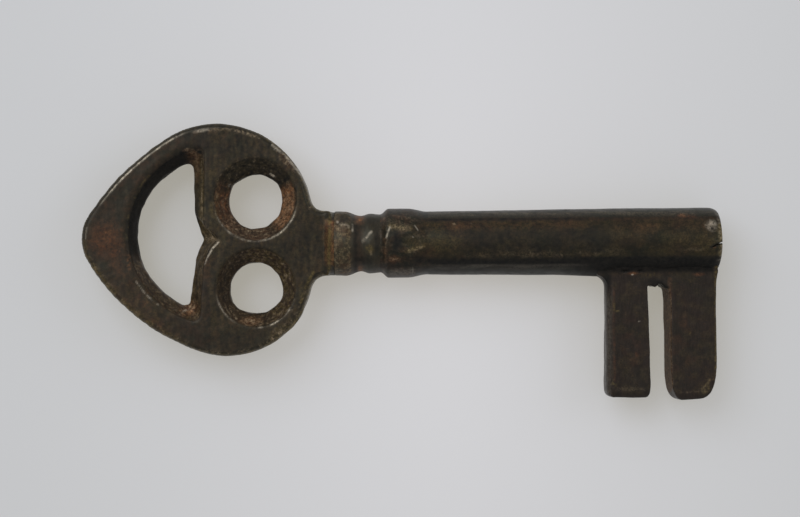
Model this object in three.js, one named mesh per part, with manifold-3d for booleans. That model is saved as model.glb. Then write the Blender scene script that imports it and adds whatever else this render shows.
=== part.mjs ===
// An old pipe key in patinated bronze, lying flat: a pierced heart-shaped bow, a turned neck, a round shank
// bored at its mouth for the lock's drill pin, and a two-pronged bit. Millimetres, +Z up, the shank along X.
// Lengths are set off from the seam between the bow's boss and the neck ring: the bow lies on the -X side of it,
// the shank on the +X side, and the bit hangs toward -Y. At the end the key is set down on the plane z = 0.
import * as THREE from 'three';
import { mergeVertices } from 'three/addons/utils/BufferGeometryUtils.js';
import Module from 'manifold-3d';

// Bow plate, seen from above. The cast plate leans a little off the line of the shank.
const BOW_LENGTH = 32.6; // seam to tip
const BOW_THICKNESS = 5.4;
const BOW_LEAN_DEGREES = 1.8;
const BOW_EDGE_ROUNDING = 0.65; // in plan, where the faces turn over into the rim
const BOW_EDGE_DEPTH = 1.0; // the same rounding, measured through the thickness
const TIP_RADIUS = 5.7;
const TIP_OFFSET = -0.1;
const UPPER_LOBE = { side: 1, distance: 15.2, offset: 3.0, radius: 12.1, flankRadius: 33.5, neckFillet: 2.0 };
const LOWER_LOBE = { side: -1, distance: 13.8, offset: 3.85, radius: 11.0, flankRadius: 28.0, neckFillet: 2.1 };

// The large opening: a round nose toward the tip, and a straight side with a notch between the two lobes.
const RIM_AT_TIP = 6.9; // tip to the opening
const NOSE_RADIUS = 9.85;
const NOSE_OFFSET = 0.75;
const STRAIGHT_SIDE_DISTANCE = 18.55; // seam to the straight side
const NOTCH_DEPTH = 1.5;
const NOTCH_BEVEL = 2.1; // from the notch's bottom to where its bevel meets the face
const NOTCH_OFFSET = 0.15;
const NOTCH_RISE = 3.3; // from the notch up to where the straight side starts
const NOTCH_FALL = 2.6; // and down
const UPPER_SIDE_LEAN = 0.3; // how much nearer the neck that side lies beside the notch than at its corners
const LOWER_SIDE_LEAN = 0.5;
const UPPER_CORNER_RADIUS = 0.7;
const LOWER_CORNER_RADIUS = 0.8;
const NOSE_BEVEL = 0.9; // width of the bevel round the nose at the tip
const FLANK_BEVEL = 1.8; // and along the flanks
const STRAIGHT_BEVEL = 1.6; // and along the straight side

// The two holes, filed round by hand, with blunt corners at the given degrees from the neck's direction. The
// countersink in each face has a centre and a radius of its own.
const UPPER_HOLE = { distance: 10.45, offset: 5.3, corners: [17, 47, 79, 104, 150, 180, 232, 270, 307, 337] };
const LOWER_HOLE = { distance: 10.05, offset: -6.05, corners: [8, 52, 97, 131, 178, 216, 247, 288, 324] };
const HOLE_RADIUS = 3.52; // to the corners
const HOLE_ROUNDNESS = 0.3; // of the sides between the corners: at 0 they are flat, at 1 a full round
const UPPER_SINK = { distance: 10.3, offset: 5.45, radius: 5.4 };
const LOWER_SINK = { distance: 9.95, offset: -5.9, radius: 5.15 };
const LAND_THICKNESS = 1.2; // what the bevels from the two faces leave between them

// Boss, tang and the turned neck
const STUB_HALF_WIDTH = 4.15;
const BOSS_RADIUS = 4.08;
const BOSS_LENGTH = 1.3; // where the flat stub turns into the round boss
const BOSS_START_DEPTH = 0.12; // how far under the plate's faces the boss starts
const STUB_IN_BOSS = 0.2; // what the plate runs into the boss
const TANG_RADIUS = 2.4;
const TANG_IN_SHANK = 5.0;
const RING_RADIUS = 4.16;
const RING_CHAMFER = 0.15; // at the seam
const RING_BAND = 1.3; // the ring's straight band, before it falls into the groove
const RING_LENGTH = 3.4;
const GROOVE_RADIUS = 3.62;
const BEAD_RADIUS = 3.9;
const BEAD_LENGTH = 2.5;
const BEAD_CREST = 1.2; // from the groove to the bead's full round
const WAIST_RADIUS = 3.78; // between bead and collar
const COLLAR_RADIUS = 4.49;
const COLLAR_LENGTH = 6.2;
const COLLAR_SWELL = 1.1; // length over which the collar swells out of the waist
const COLLAR_BAND = 2.4; // its full round, before it tapers into the shank
const COLLAR_FLOOR = 1.1; // the closed end that the tang passes through
const SPIGOT_RADIUS = 3.45; // the shank's turned-down end inside the collar

// Flats filed on the upper side of the turned pieces: their distance from the seam, the degrees that they are turned
// round the shank and lean toward the mouth, and their depth under the piece's full round.
const RING_FLAT = { distance: 1.0, turn: 17, lean: -5, depth: 0.14 };
const BEAD_FLAT = { distance: 4.4, turn: 15, lean: -7, depth: 0.15 };
const COLLAR_FLAT = { distance: 10.2, turn: 1, lean: 3.5, depth: 0.28 };
const MOUTH_FLAT = { distance: 48.6, turn: 23, lean: 12, depth: 0.36 };

// Shank
const MOUTH_DISTANCE = 49.75; // seam to the mouth
const SHANK_RADIUS_AT_COLLAR = 4.08;
const SHANK_RADIUS_AT_BIT = 4.33;
const BORE_RADIUS = 3.2;
const BORE_DEPTH = 34;
const MOUTH_ROUNDING = 0.65; // off the wall, at the mouth's outer edge
const MOUTH_ROUNDING_LENGTH = 1.5; // the same, along the shank
const BORE_CHAMFER = 0.12;
const SPLIT_LENGTH = 1.6; // the crack in the mouth's upper wall
const SPLIT_WIDTH = 0.35;
const SPLIT_OFFSET = -0.35; // from the shank's centre line
const SPLIT_TURN_DEGREES = 18;

// Bit
const BIT_SETBACK = 0.6; // from the mouth
const BIT_ROOT_SPREAD = 0.25; // what the plate gains at its root, toward the mouth
const BIT_WIDTH = 14.1;
const BIT_THICKNESS = 4.4;
const BIT_SEAT = 3.7; // shank axis to the flat filed for the bit
const BIT_ROOT_FILLET = 1.6;
const BIT_EDGE_ROUNDING = 0.35;
const LEFT_PRONG_REACH = 20.1; // shank axis to the prong's end
const RIGHT_PRONG_REACH = 20.45;
const LEFT_PRONG_WIDTH = 5.2; // at the ward slot's top
const LEFT_PRONG_FLARE = 0.45; // gained toward its end
const WARD_SLOT_WIDTH = 2.65; // at its top, on the back
const WARD_SLOT_LEAN = 0.38; // what its right wall gains from the back to the front
const WARD_SLOT_TOP = 5.6; // shank axis to the slot's top
const WARD_SLOT_CORNER = 0.2; // at the top left
const WARD_SLOT_CHAMFER = 0.5; // at the top right, across
const WARD_SLOT_CHAMFER_FALL = 0.9; // and down
const LEFT_PRONG_CORNER = 0.6; // across its end
const LEFT_PRONG_INNER_RISE = 1.8; // and up the slot's side
const RIGHT_PRONG_INNER_CORNER = 1.4;
const RIGHT_PRONG_INNER_RISE = 3.6;
const RIGHT_PRONG_OUTER_CORNER = 2.2; // across the end
const RIGHT_PRONG_OUTER_RISE = 4.2; // and up the side

// Fit and fineness
const BRAZE_GAP = 0.2; // all round wherever one piece is brazed into another
const TANG_END_GAP = 0.3;
const TANG_END_CHAMFER = 0.2;
const CUTTER_OVERRUN = 0.5; // how far a cutter runs past what it cuts
const ROUND_FACETS = 60;
const ARC_DIVISIONS = 10;
const SIDE_DIVISIONS = 5;
const WAVE_STEPS = 5;

const wasm = await Module();
wasm.setup();

// Closed solids and their booleans

function signedVolume(position, triangles) {
  const a = new THREE.Vector3();
  const b = new THREE.Vector3();
  const c = new THREE.Vector3();
  let volume = 0;
  for (const [i, j, k] of triangles) {
    a.fromBufferAttribute(position, i);
    b.fromBufferAttribute(position, j);
    c.fromBufferAttribute(position, k);
    volume += a.dot(b.cross(c)) / 6;
  }
  return volume;
}

// The same shape with shared corners, without triangles that have shrunk to a line, and facing outward.
function closed(geometry) {
  const bare = geometry.clone();
  bare.deleteAttribute('normal');
  bare.deleteAttribute('uv');
  const merged = mergeVertices(bare, 1e-4);
  const position = merged.getAttribute('position');
  const index = merged.getIndex().array;
  const triangles = [];
  for (let i = 0; i < index.length; i += 3) {
    const corners = [index[i], index[i + 1], index[i + 2]];
    if (new Set(corners).size === 3) {
      triangles.push(corners);
    }
  }
  if (signedVolume(position, triangles) < 0) {
    triangles.forEach((corners) => corners.reverse());
  }
  merged.setIndex(triangles.flat());
  return merged;
}

function solid(geometry) {
  const merged = closed(geometry);
  return new wasm.Manifold(
    new wasm.Mesh({
      numProp: 3,
      vertProperties: new Float32Array(merged.getAttribute('position').array),
      triVerts: new Uint32Array(merged.getIndex().array),
    }),
  );
}

function geometryOf(body) {
  const mesh = body.getMesh();
  const geometry = new THREE.BufferGeometry();
  geometry.setAttribute('position', new THREE.BufferAttribute(mesh.vertProperties, 3));
  geometry.setIndex(new THREE.BufferAttribute(mesh.triVerts, 1));
  return geometry;
}

// Shared ways of making a shape

// A body skinned over rings that have the same number of points, with a flat cap on its first and last ring.
function loft(rings) {
  const count = rings[0].length;
  const positions = rings.flat().flatMap((point) => [point.x, point.y, point.z]);
  const indices = [];
  for (let ring = 0; ring < rings.length - 1; ring++) {
    for (let i = 0; i < count; i++) {
      const j = (i + 1) % count;
      const low = ring * count;
      const high = low + count;
      indices.push(low + i, low + j, high + j, low + i, high + j, high + i);
    }
  }
  const last = (rings.length - 1) * count;
  for (let i = 1; i < count - 1; i++) {
    indices.push(0, i + 1, i);
    indices.push(last, last + i, last + i + 1);
  }
  const geometry = new THREE.BufferGeometry();
  geometry.setAttribute('position', new THREE.Float32BufferAttribute(positions, 3));
  geometry.setIndex(indices);
  return geometry;
}

// A body turned about the X axis from a closed profile of [x, radius] points.
function turned(profile) {
  const points = profile.map(([x, radius]) => new THREE.Vector2(radius, x));
  const lathe = new THREE.LatheGeometry([...points, points[0].clone()], ROUND_FACETS);
  return lathe.rotateZ(-Math.PI / 2);
}

// Points of a half-wave from one [x, radius] to the next, level at both ends, without the first point.
function wave([x0, r0], [x1, r1], steps) {
  const points = [];
  for (let i = 1; i <= steps; i++) {
    const t = i / steps;
    const rise = (1 - Math.cos(Math.PI * t)) / 2;
    points.push([x0 + (x1 - x0) * t, r0 + (r1 - r0) * rise]);
  }
  return points;
}

// Points of a quarter round in a profile, that falls from its outer surface to its end face.
function quarterRound([x, radius], length, height, steps) {
  const points = [];
  for (let i = 0; i <= steps; i++) {
    const angle = (Math.PI / 2) * (1 - i / steps);
    points.push([x + length * Math.cos(angle), radius + height * Math.sin(angle)]);
  }
  return points;
}

// An arc as plan points, counted from its first angle to its last.
function arc(centre, radius, from, to, steps) {
  const points = [];
  for (let i = 0; i <= steps; i++) {
    const angle = from + ((to - from) * i) / steps;
    points.push(new THREE.Vector2(centre.x + radius * Math.cos(angle), centre.y + radius * Math.sin(angle)));
  }
  return points;
}

function box(low, high) {
  const size = new THREE.Vector3().subVectors(high, low);
  const centre = new THREE.Vector3().addVectors(low, high).multiplyScalar(0.5);
  return new THREE.BoxGeometry(size.x, size.y, size.z).translate(centre.x, centre.y, centre.z);
}

// Files a flat on a body that was turned to the given radius.
function filed(body, radius, flat) {
  const file = new THREE.BoxGeometry(2 * radius, 2 * radius, radius)
    .translate(0, 0, radius - flat.depth + radius / 2)
    .rotateY(THREE.MathUtils.degToRad(flat.lean))
    .rotateX(-THREE.MathUtils.degToRad(flat.turn))
    .translate(flat.distance, 0, 0);
  return body.subtract(solid(file));
}

// Bow

// The centre of an arc that both given circles touch from inside: of the two, the one across the bow's centre line.
function flankCentre(tip, lobe) {
  const toTip = lobe.flankRadius - TIP_RADIUS;
  const toLobe = lobe.flankRadius - lobe.radius;
  const apart = new THREE.Vector2().subVectors(lobe.centre, tip);
  const span = apart.length();
  const along = (toTip * toTip - toLobe * toLobe + span * span) / (2 * span);
  const across = Math.sqrt(Math.max(toTip * toTip - along * along, 0));
  const unit = apart.normalize();
  const normal = new THREE.Vector2(-unit.y, unit.x).multiplyScalar(lobe.side);
  return tip.clone().addScaledVector(unit, along).addScaledVector(normal, -across);
}

function angleFrom(centre, point) {
  return Math.atan2(point.y - centre.y, point.x - centre.x);
}

// The upper or lower half of the bow's outline as a chain of tangent arcs, from the tip to the neck.
function halfOutline(tip, size) {
  const lobe = { ...size, centre: new THREE.Vector2(-size.distance, size.side * size.offset) };
  const flank = flankCentre(tip, lobe);
  const filletY = lobe.side * (STUB_HALF_WIDTH + lobe.neckFillet);
  const reach = lobe.radius + lobe.neckFillet;
  const filletX = lobe.centre.x + Math.sqrt(reach * reach - (filletY - lobe.centre.y) ** 2);
  const fillet = new THREE.Vector2(filletX, filletY);
  const quarter = (lobe.side * Math.PI) / 2;
  const tipStart = lobe.side * Math.PI;
  const tipEnd = angleFrom(flank, tip);
  const flankEnd = angleFrom(flank, lobe.centre);
  const lobeEnd = angleFrom(lobe.centre, fillet);
  return [
    ...arc(tip, TIP_RADIUS, tipStart, tipEnd, ARC_DIVISIONS / 2),
    ...arc(flank, lobe.flankRadius, tipEnd, flankEnd, ARC_DIVISIONS).slice(1),
    ...arc(lobe.centre, lobe.radius, flankEnd, lobeEnd, 2 * ARC_DIVISIONS).slice(1),
    ...arc(fillet, lobe.neckFillet, lobeEnd + lobe.side * Math.PI, 3 * quarter, ARC_DIVISIONS / 2).slice(1),
  ];
}

function bowPlate() {
  const tip = new THREE.Vector2(-BOW_LENGTH + TIP_RADIUS, TIP_OFFSET);
  const upper = halfOutline(tip, UPPER_LOBE);
  const lower = halfOutline(tip, LOWER_LOBE);
  const overlong = 2 * STUB_HALF_WIDTH; // the stub is cut to length below
  const stubEnd = [
    new THREE.Vector2(overlong, STUB_HALF_WIDTH),
    new THREE.Vector2(overlong, -STUB_HALF_WIDTH),
  ];
  const outline = new THREE.Shape([...upper, ...stubEnd, ...lower.reverse().slice(0, -1)]);
  const plate = new THREE.ExtrudeGeometry(outline, {
    depth: BOW_THICKNESS - 2 * BOW_EDGE_DEPTH,
    bevelThickness: BOW_EDGE_DEPTH,
    bevelSize: BOW_EDGE_ROUNDING,
    bevelOffset: -BOW_EDGE_ROUNDING,
    bevelSegments: 3,
  });
  const leaned = plate
    .translate(0, 0, BOW_EDGE_DEPTH - BOW_THICKNESS / 2)
    .rotateZ(-THREE.MathUtils.degToRad(BOW_LEAN_DEGREES));
  const beyondStub = box(
    new THREE.Vector3(STUB_IN_BOSS - BOSS_LENGTH, -overlong, -BOW_THICKNESS),
    new THREE.Vector3(2 * overlong, overlong, BOW_THICKNESS),
  );
  return solid(leaned).subtract(solid(beyondStub));
}

// One contour of the large opening: the nose, its two corners, and the straight side with its notch.
function openingContour(nose, noseRadius, sideX, notchX, upperCorner, lowerCorner) {
  const cornerCentre = (side, radius) => {
    const x = sideX - radius;
    const reach = noseRadius - radius;
    return new THREE.Vector2(x, nose.y + side * Math.sqrt(reach * reach - (x - nose.x) ** 2));
  };
  const upper = cornerCentre(1, upperCorner);
  const lower = cornerCentre(-1, lowerCorner);
  const upperAngle = angleFrom(nose, upper);
  const lowerAngle = angleFrom(nose, lower);
  return [
    ...arc(upper, upperCorner, 0, upperAngle, ARC_DIVISIONS / 2),
    ...arc(nose, noseRadius, upperAngle, lowerAngle + 2 * Math.PI, 4 * ARC_DIVISIONS).slice(1),
    ...arc(lower, lowerCorner, lowerAngle, 0, ARC_DIVISIONS / 2).slice(1),
    new THREE.Vector2(sideX + LOWER_SIDE_LEAN, NOTCH_OFFSET - NOTCH_FALL),
    new THREE.Vector2(notchX, NOTCH_OFFSET),
    new THREE.Vector2(sideX + UPPER_SIDE_LEAN, NOTCH_OFFSET + NOTCH_RISE),
  ];
}

// A cutter that is straight through the land and flares from there past both faces.
function flaredCutter(through, face) {
  const land = LAND_THICKNESS / 2;
  const half = BOW_THICKNESS / 2;
  const top = half + CUTTER_OVERRUN;
  const flare = (top - land) / (half - land);
  const widest = through.map((point, i) => point.clone().lerp(face[i], flare));
  const ring = (points, z) => points.map((point) => new THREE.Vector3(point.x, point.y, z));
  return [
    ring(widest, -top),
    ring(through, -land),
    ring(through, land),
    ring(widest, top),
  ];
}

function largeOpening() {
  const nose = new THREE.Vector2(-BOW_LENGTH + RIM_AT_TIP + NOSE_RADIUS, NOSE_OFFSET);
  const faceNose = nose.clone().add(new THREE.Vector2(FLANK_BEVEL - NOSE_BEVEL, 0));
  const sideX = -STRAIGHT_SIDE_DISTANCE;
  const through = openingContour(
    nose,
    NOSE_RADIUS,
    sideX,
    sideX + NOTCH_DEPTH,
    UPPER_CORNER_RADIUS,
    LOWER_CORNER_RADIUS,
  );
  const face = openingContour(
    faceNose,
    NOSE_RADIUS + FLANK_BEVEL,
    sideX + STRAIGHT_BEVEL,
    sideX + NOTCH_DEPTH + NOTCH_BEVEL,
    UPPER_CORNER_RADIUS,
    LOWER_CORNER_RADIUS,
  );
  return flaredCutter(through, face);
}

function filedHole(hole, sink) {
  const centre = new THREE.Vector2(-hole.distance, hole.offset);
  const sinkCentre = new THREE.Vector2(-sink.distance, sink.offset);
  const sides = hole.corners.map((corner, i) => {
    const start = THREE.MathUtils.degToRad(corner);
    const end = THREE.MathUtils.degToRad(hole.corners[i + 1] ?? hole.corners[0] + 360);
    const round = arc(centre, HOLE_RADIUS, start, end, SIDE_DIVISIONS);
    const onFlat = (step) => round[0].clone().lerp(round[SIDE_DIVISIONS], step / SIDE_DIVISIONS);
    return round.slice(0, -1).map((point, step) => onFlat(step).lerp(point, HOLE_ROUNDNESS));
  });
  const through = sides.flat();
  const face = through.map((point) => point.clone().sub(centre).setLength(sink.radius).add(sinkCentre));
  return flaredCutter(through, face);
}

// A section across the shank's line that passes from a squared block (high power) to an ellipse (power 2).
function blockSection(x, halfWidth, halfHeight, power) {
  const points = [];
  for (let i = 0; i < ROUND_FACETS; i++) {
    const angle = (2 * Math.PI * i) / ROUND_FACETS;
    const c = Math.cos(angle);
    const s = Math.sin(angle);
    const reach = (Math.abs(c / halfWidth) ** power + Math.abs(s / halfHeight) ** power) ** (-1 / power);
    points.push(new THREE.Vector3(x, reach * c, reach * s));
  }
  return points;
}

// The block starts just under the plate's faces and rises out of them into the round boss at the seam.
function boss() {
  const steps = 5;
  const startHalfWidth = STUB_HALF_WIDTH - BOSS_START_DEPTH;
  const startHalfHeight = BOW_THICKNESS / 2 - BOSS_START_DEPTH;
  const rings = [];
  for (let i = 0; i <= steps; i++) {
    const t = i / steps;
    const halfWidth = startHalfWidth + (BOSS_RADIUS - startHalfWidth) * t;
    const halfHeight = startHalfHeight + (BOSS_RADIUS - startHalfHeight) * t;
    rings.push(blockSection(-BOSS_LENGTH * (1 - t), halfWidth, halfHeight, 2 + 6 * (1 - t) ** 2));
  }
  return loft(rings);
}

function tang() {
  const end = RING_LENGTH + BEAD_LENGTH + COLLAR_FLOOR + TANG_IN_SHANK;
  return turned([
    [-BOSS_LENGTH, 0],
    [-BOSS_LENGTH, TANG_RADIUS],
    [end - TANG_END_CHAMFER, TANG_RADIUS],
    [end, TANG_RADIUS - TANG_END_CHAMFER],
    [end, 0],
  ]);
}

function bow() {
  const lean = -THREE.MathUtils.degToRad(BOW_LEAN_DEGREES);
  const openings = [
    largeOpening(),
    filedHole(UPPER_HOLE, UPPER_SINK),
    filedHole(LOWER_HOLE, LOWER_SINK),
  ];
  const pierced = openings.reduce((body, rings) => body.subtract(solid(loft(rings).rotateZ(lean))), bowPlate());
  return geometryOf(pierced.add(solid(boss())).add(solid(tang())));
}

// Neck ring, bead and collar

function sleeve(outerProfile) {
  const bore = TANG_RADIUS + BRAZE_GAP;
  const [startX] = outerProfile[0];
  const [endX] = outerProfile[outerProfile.length - 1];
  return solid(turned([[startX, bore], ...outerProfile, [endX, bore]]));
}

function neckRing() {
  const ring = sleeve([
    [0, RING_RADIUS - RING_CHAMFER],
    [RING_CHAMFER, RING_RADIUS],
    [RING_BAND, RING_RADIUS],
    ...wave([RING_BAND, RING_RADIUS], [RING_LENGTH, GROOVE_RADIUS], WAVE_STEPS),
  ]);
  return geometryOf(filed(ring, RING_RADIUS, RING_FLAT));
}

function neckBead() {
  const start = RING_LENGTH;
  const end = start + BEAD_LENGTH;
  const crest = start + BEAD_CREST;
  const bead = sleeve([
    [start, GROOVE_RADIUS],
    ...wave([start, GROOVE_RADIUS], [crest, BEAD_RADIUS], WAVE_STEPS),
    ...wave([crest, BEAD_RADIUS], [end, WAIST_RADIUS], WAVE_STEPS),
  ]);
  return geometryOf(filed(bead, BEAD_RADIUS, BEAD_FLAT));
}

const COLLAR_START = RING_LENGTH + BEAD_LENGTH;
const COLLAR_END = COLLAR_START + COLLAR_LENGTH;
const SPIGOT_START = COLLAR_START + COLLAR_FLOOR;

function collar() {
  const swellEnd = COLLAR_START + COLLAR_SWELL;
  const bandEnd = swellEnd + COLLAR_BAND;
  const tangBore = TANG_RADIUS + BRAZE_GAP;
  const spigotBore = SPIGOT_RADIUS + BRAZE_GAP;
  const cup = turned([
    [COLLAR_START, tangBore],
    [COLLAR_START, WAIST_RADIUS],
    ...wave([COLLAR_START, WAIST_RADIUS], [swellEnd, COLLAR_RADIUS], WAVE_STEPS),
    [bandEnd, COLLAR_RADIUS],
    ...wave([bandEnd, COLLAR_RADIUS], [COLLAR_END, SHANK_RADIUS_AT_COLLAR], WAVE_STEPS),
    [COLLAR_END, spigotBore],
    [SPIGOT_START, spigotBore],
    [SPIGOT_START, tangBore],
  ]);
  return geometryOf(filed(solid(cup), COLLAR_RADIUS, COLLAR_FLAT));
}

// Shank: a spigot inside the collar, a slight taper, then straight over the bit to the rounded mouth

const BIT_RIGHT = MOUTH_DISTANCE - BIT_SETBACK;
const BIT_LEFT = BIT_RIGHT - BIT_WIDTH;

function shankBody() {
  const socket = TANG_RADIUS + BRAZE_GAP;
  const socketEnd = SPIGOT_START + TANG_IN_SHANK + TANG_END_GAP;
  const boreEnd = MOUTH_DISTANCE - BORE_DEPTH;
  const lip = [MOUTH_DISTANCE - MOUTH_ROUNDING_LENGTH, SHANK_RADIUS_AT_BIT - MOUTH_ROUNDING];
  return turned([
    [socketEnd, 0],
    [socketEnd, socket],
    [SPIGOT_START, socket],
    [SPIGOT_START, SPIGOT_RADIUS],
    [COLLAR_END, SPIGOT_RADIUS],
    [COLLAR_END, SHANK_RADIUS_AT_COLLAR],
    [BIT_LEFT, SHANK_RADIUS_AT_BIT],
    ...quarterRound(lip, MOUTH_ROUNDING_LENGTH, MOUTH_ROUNDING, WAVE_STEPS),
    [MOUTH_DISTANCE, BORE_RADIUS + BORE_CHAMFER],
    [MOUTH_DISTANCE - BORE_CHAMFER, BORE_RADIUS],
    [boreEnd, BORE_RADIUS],
    [boreEnd, 0],
  ]);
}

// The crack in the mouth's upper wall, a thin wedge that closes toward the bow.
function mouthSplit() {
  const widen = (SPLIT_LENGTH + CUTTER_OVERRUN) / SPLIT_LENGTH;
  const wedge = new THREE.Shape([
    new THREE.Vector2(-SPLIT_LENGTH, 0),
    new THREE.Vector2(CUTTER_OVERRUN, (-widen * SPLIT_WIDTH) / 2),
    new THREE.Vector2(CUTTER_OVERRUN, (widen * SPLIT_WIDTH) / 2),
  ]);
  const cutter = new THREE.ExtrudeGeometry(wedge, { depth: SHANK_RADIUS_AT_BIT, bevelEnabled: false });
  return cutter
    .rotateZ(THREE.MathUtils.degToRad(SPLIT_TURN_DEGREES))
    .translate(MOUTH_DISTANCE, SPLIT_OFFSET, BORE_RADIUS / 2);
}

function shank() {
  const seatCut = box(
    new THREE.Vector3(BIT_LEFT - BRAZE_GAP, -2 * SHANK_RADIUS_AT_BIT, -SHANK_RADIUS_AT_BIT),
    new THREE.Vector3(MOUTH_DISTANCE + CUTTER_OVERRUN, -BIT_SEAT, SHANK_RADIUS_AT_BIT),
  );
  const seated = solid(shankBody()).subtract(solid(seatCut));
  return geometryOf(filed(seated, SHANK_RADIUS_AT_BIT, MOUTH_FLAT).subtract(solid(mouthSplit())));
}

// Bit: one plate with a ward slot, its root saddled to the shank and standing on the filed flat

// The slot's right wall leans: between the slot's left wall and the plate's right edge the front is drawn aside.
function bitPlate() {
  const inShank = -BIT_SEAT / 2;
  const flareX = BIT_LEFT - BIT_ROOT_FILLET;
  const leftEnd = -LEFT_PRONG_REACH;
  const rightEnd = -RIGHT_PRONG_REACH;
  const slotLeft = BIT_LEFT + LEFT_PRONG_WIDTH;
  const slotRight = slotLeft + WARD_SLOT_WIDTH;
  const slotLeftEnd = slotLeft + LEFT_PRONG_FLARE;
  const slotTop = -WARD_SLOT_TOP;
  const outline = new THREE.Shape();
  outline.moveTo(BIT_RIGHT + BIT_ROOT_SPREAD, inShank);
  outline.lineTo(flareX, inShank);
  outline.lineTo(flareX, -SHANK_RADIUS_AT_BIT);
  outline.quadraticCurveTo(BIT_LEFT, -SHANK_RADIUS_AT_BIT, BIT_LEFT, -SHANK_RADIUS_AT_BIT - BIT_ROOT_FILLET);
  outline.lineTo(BIT_LEFT, leftEnd + LEFT_PRONG_CORNER);
  outline.quadraticCurveTo(BIT_LEFT, leftEnd, BIT_LEFT + LEFT_PRONG_CORNER, leftEnd);
  outline.lineTo(slotLeftEnd - LEFT_PRONG_CORNER, leftEnd);
  outline.quadraticCurveTo(slotLeftEnd, leftEnd, slotLeftEnd, leftEnd + LEFT_PRONG_INNER_RISE);
  outline.lineTo(slotLeft, slotTop - WARD_SLOT_CORNER);
  outline.quadraticCurveTo(slotLeft, slotTop, slotLeft + WARD_SLOT_CORNER, slotTop);
  outline.lineTo(slotRight - WARD_SLOT_CHAMFER, slotTop);
  outline.lineTo(slotRight, slotTop - WARD_SLOT_CHAMFER_FALL);
  outline.lineTo(slotRight, rightEnd + RIGHT_PRONG_INNER_RISE);
  outline.quadraticCurveTo(slotRight, rightEnd, slotRight + RIGHT_PRONG_INNER_CORNER, rightEnd);
  outline.lineTo(BIT_RIGHT - RIGHT_PRONG_OUTER_CORNER, rightEnd);
  outline.quadraticCurveTo(BIT_RIGHT, rightEnd, BIT_RIGHT, rightEnd + RIGHT_PRONG_OUTER_RISE);
  outline.lineTo(BIT_RIGHT, 1.5 * slotTop);
  outline.closePath();
  const plate = new THREE.ExtrudeGeometry(outline, {
    depth: BIT_THICKNESS - 2 * BIT_EDGE_ROUNDING,
    bevelThickness: BIT_EDGE_ROUNDING,
    bevelSize: BIT_EDGE_ROUNDING,
    bevelOffset: -BIT_EDGE_ROUNDING,
    bevelSegments: 2,
    curveSegments: ARC_DIVISIONS / 2,
  });
  const position = plate.getAttribute('position');
  for (let i = 0; i < position.count; i++) {
    const x = position.getX(i);
    const toLeft = (x - slotLeft) / WARD_SLOT_WIDTH;
    const toRight = (BIT_RIGHT - x) / (BIT_RIGHT - slotRight);
    const share = THREE.MathUtils.clamp(Math.min(toLeft, toRight), 0, 1);
    const height = (position.getZ(i) + BIT_EDGE_ROUNDING) / BIT_THICKNESS;
    position.setX(i, x + WARD_SLOT_LEAN * share * height);
  }
  return plate.translate(0, 0, BIT_EDGE_ROUNDING - BIT_THICKNESS / 2);
}

function bit() {
  const saddle = SHANK_RADIUS_AT_BIT + BRAZE_GAP;
  const shankClearance = turned([
    [BIT_LEFT - 3 * BIT_ROOT_FILLET, 0],
    [BIT_LEFT - 3 * BIT_ROOT_FILLET, saddle],
    [MOUTH_DISTANCE + CUTTER_OVERRUN, saddle],
    [MOUTH_DISTANCE + CUTTER_OVERRUN, 0],
  ]);
  const root = box(
    new THREE.Vector3(BIT_LEFT, -WARD_SLOT_TOP + BIT_EDGE_ROUNDING, BIT_EDGE_ROUNDING - BIT_THICKNESS / 2),
    new THREE.Vector3(BIT_RIGHT + BIT_ROOT_SPREAD, -BIT_SEAT, BIT_THICKNESS / 2 - BIT_EDGE_ROUNDING),
  );
  return geometryOf(solid(bitPlate()).subtract(solid(shankClearance)).add(solid(root)));
}

// The key

function piece(name, geometry, colour, roughness) {
  const material = new THREE.MeshStandardMaterial({ color: colour, roughness, metalness: 0.85 });
  const mesh = new THREE.Mesh(geometry, material);
  mesh.name = name;
  return mesh;
}

const pieces = new THREE.Group();
pieces.add(
  piece('bow', bow(), 0x3e382d, 0.42),
  piece('neck_ring', neckRing(), 0x5a5040, 0.5),
  piece('neck_bead', neckBead(), 0x443c30, 0.45),
  piece('collar', collar(), 0x3a352b, 0.4),
  piece('shank', shank(), 0x332f25, 0.34),
  piece('bit', bit(), 0x352e27, 0.45),
);

// Set down with the middle of its footprint at the origin and its lowest point on z = 0.
const extent = new THREE.Box3().setFromObject(pieces);
const middle = extent.getCenter(new THREE.Vector3());
pieces.position.set(-middle.x, -middle.y, -extent.min.z);

const key = new THREE.Group();
key.add(pieces);

export default key;
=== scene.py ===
import math

import bmesh
import bpy
import numpy as np
from mathutils import Matrix, Vector, kdtree, noise


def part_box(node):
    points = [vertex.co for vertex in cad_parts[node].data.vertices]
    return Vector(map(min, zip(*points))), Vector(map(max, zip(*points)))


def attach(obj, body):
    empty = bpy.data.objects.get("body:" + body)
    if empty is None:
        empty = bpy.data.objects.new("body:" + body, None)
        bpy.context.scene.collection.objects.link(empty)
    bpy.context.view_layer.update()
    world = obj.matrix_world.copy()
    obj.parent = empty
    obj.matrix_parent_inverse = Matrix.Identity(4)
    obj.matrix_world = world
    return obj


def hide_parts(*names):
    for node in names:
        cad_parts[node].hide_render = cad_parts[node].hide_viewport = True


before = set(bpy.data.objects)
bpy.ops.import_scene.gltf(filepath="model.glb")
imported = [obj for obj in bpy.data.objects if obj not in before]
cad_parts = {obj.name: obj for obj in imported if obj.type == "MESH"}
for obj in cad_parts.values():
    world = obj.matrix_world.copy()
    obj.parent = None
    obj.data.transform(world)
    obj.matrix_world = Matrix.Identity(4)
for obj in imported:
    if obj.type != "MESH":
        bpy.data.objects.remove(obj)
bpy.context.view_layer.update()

# Camera
# It looks straight down on the key from a little left of its middle, and the key lies turned by less than half
# a degree in the picture. Every place below is in millimetres from the seam between the bow and the neck ring.
MM = 0.001
ring_low, ring_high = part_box("neck_ring")
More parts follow.
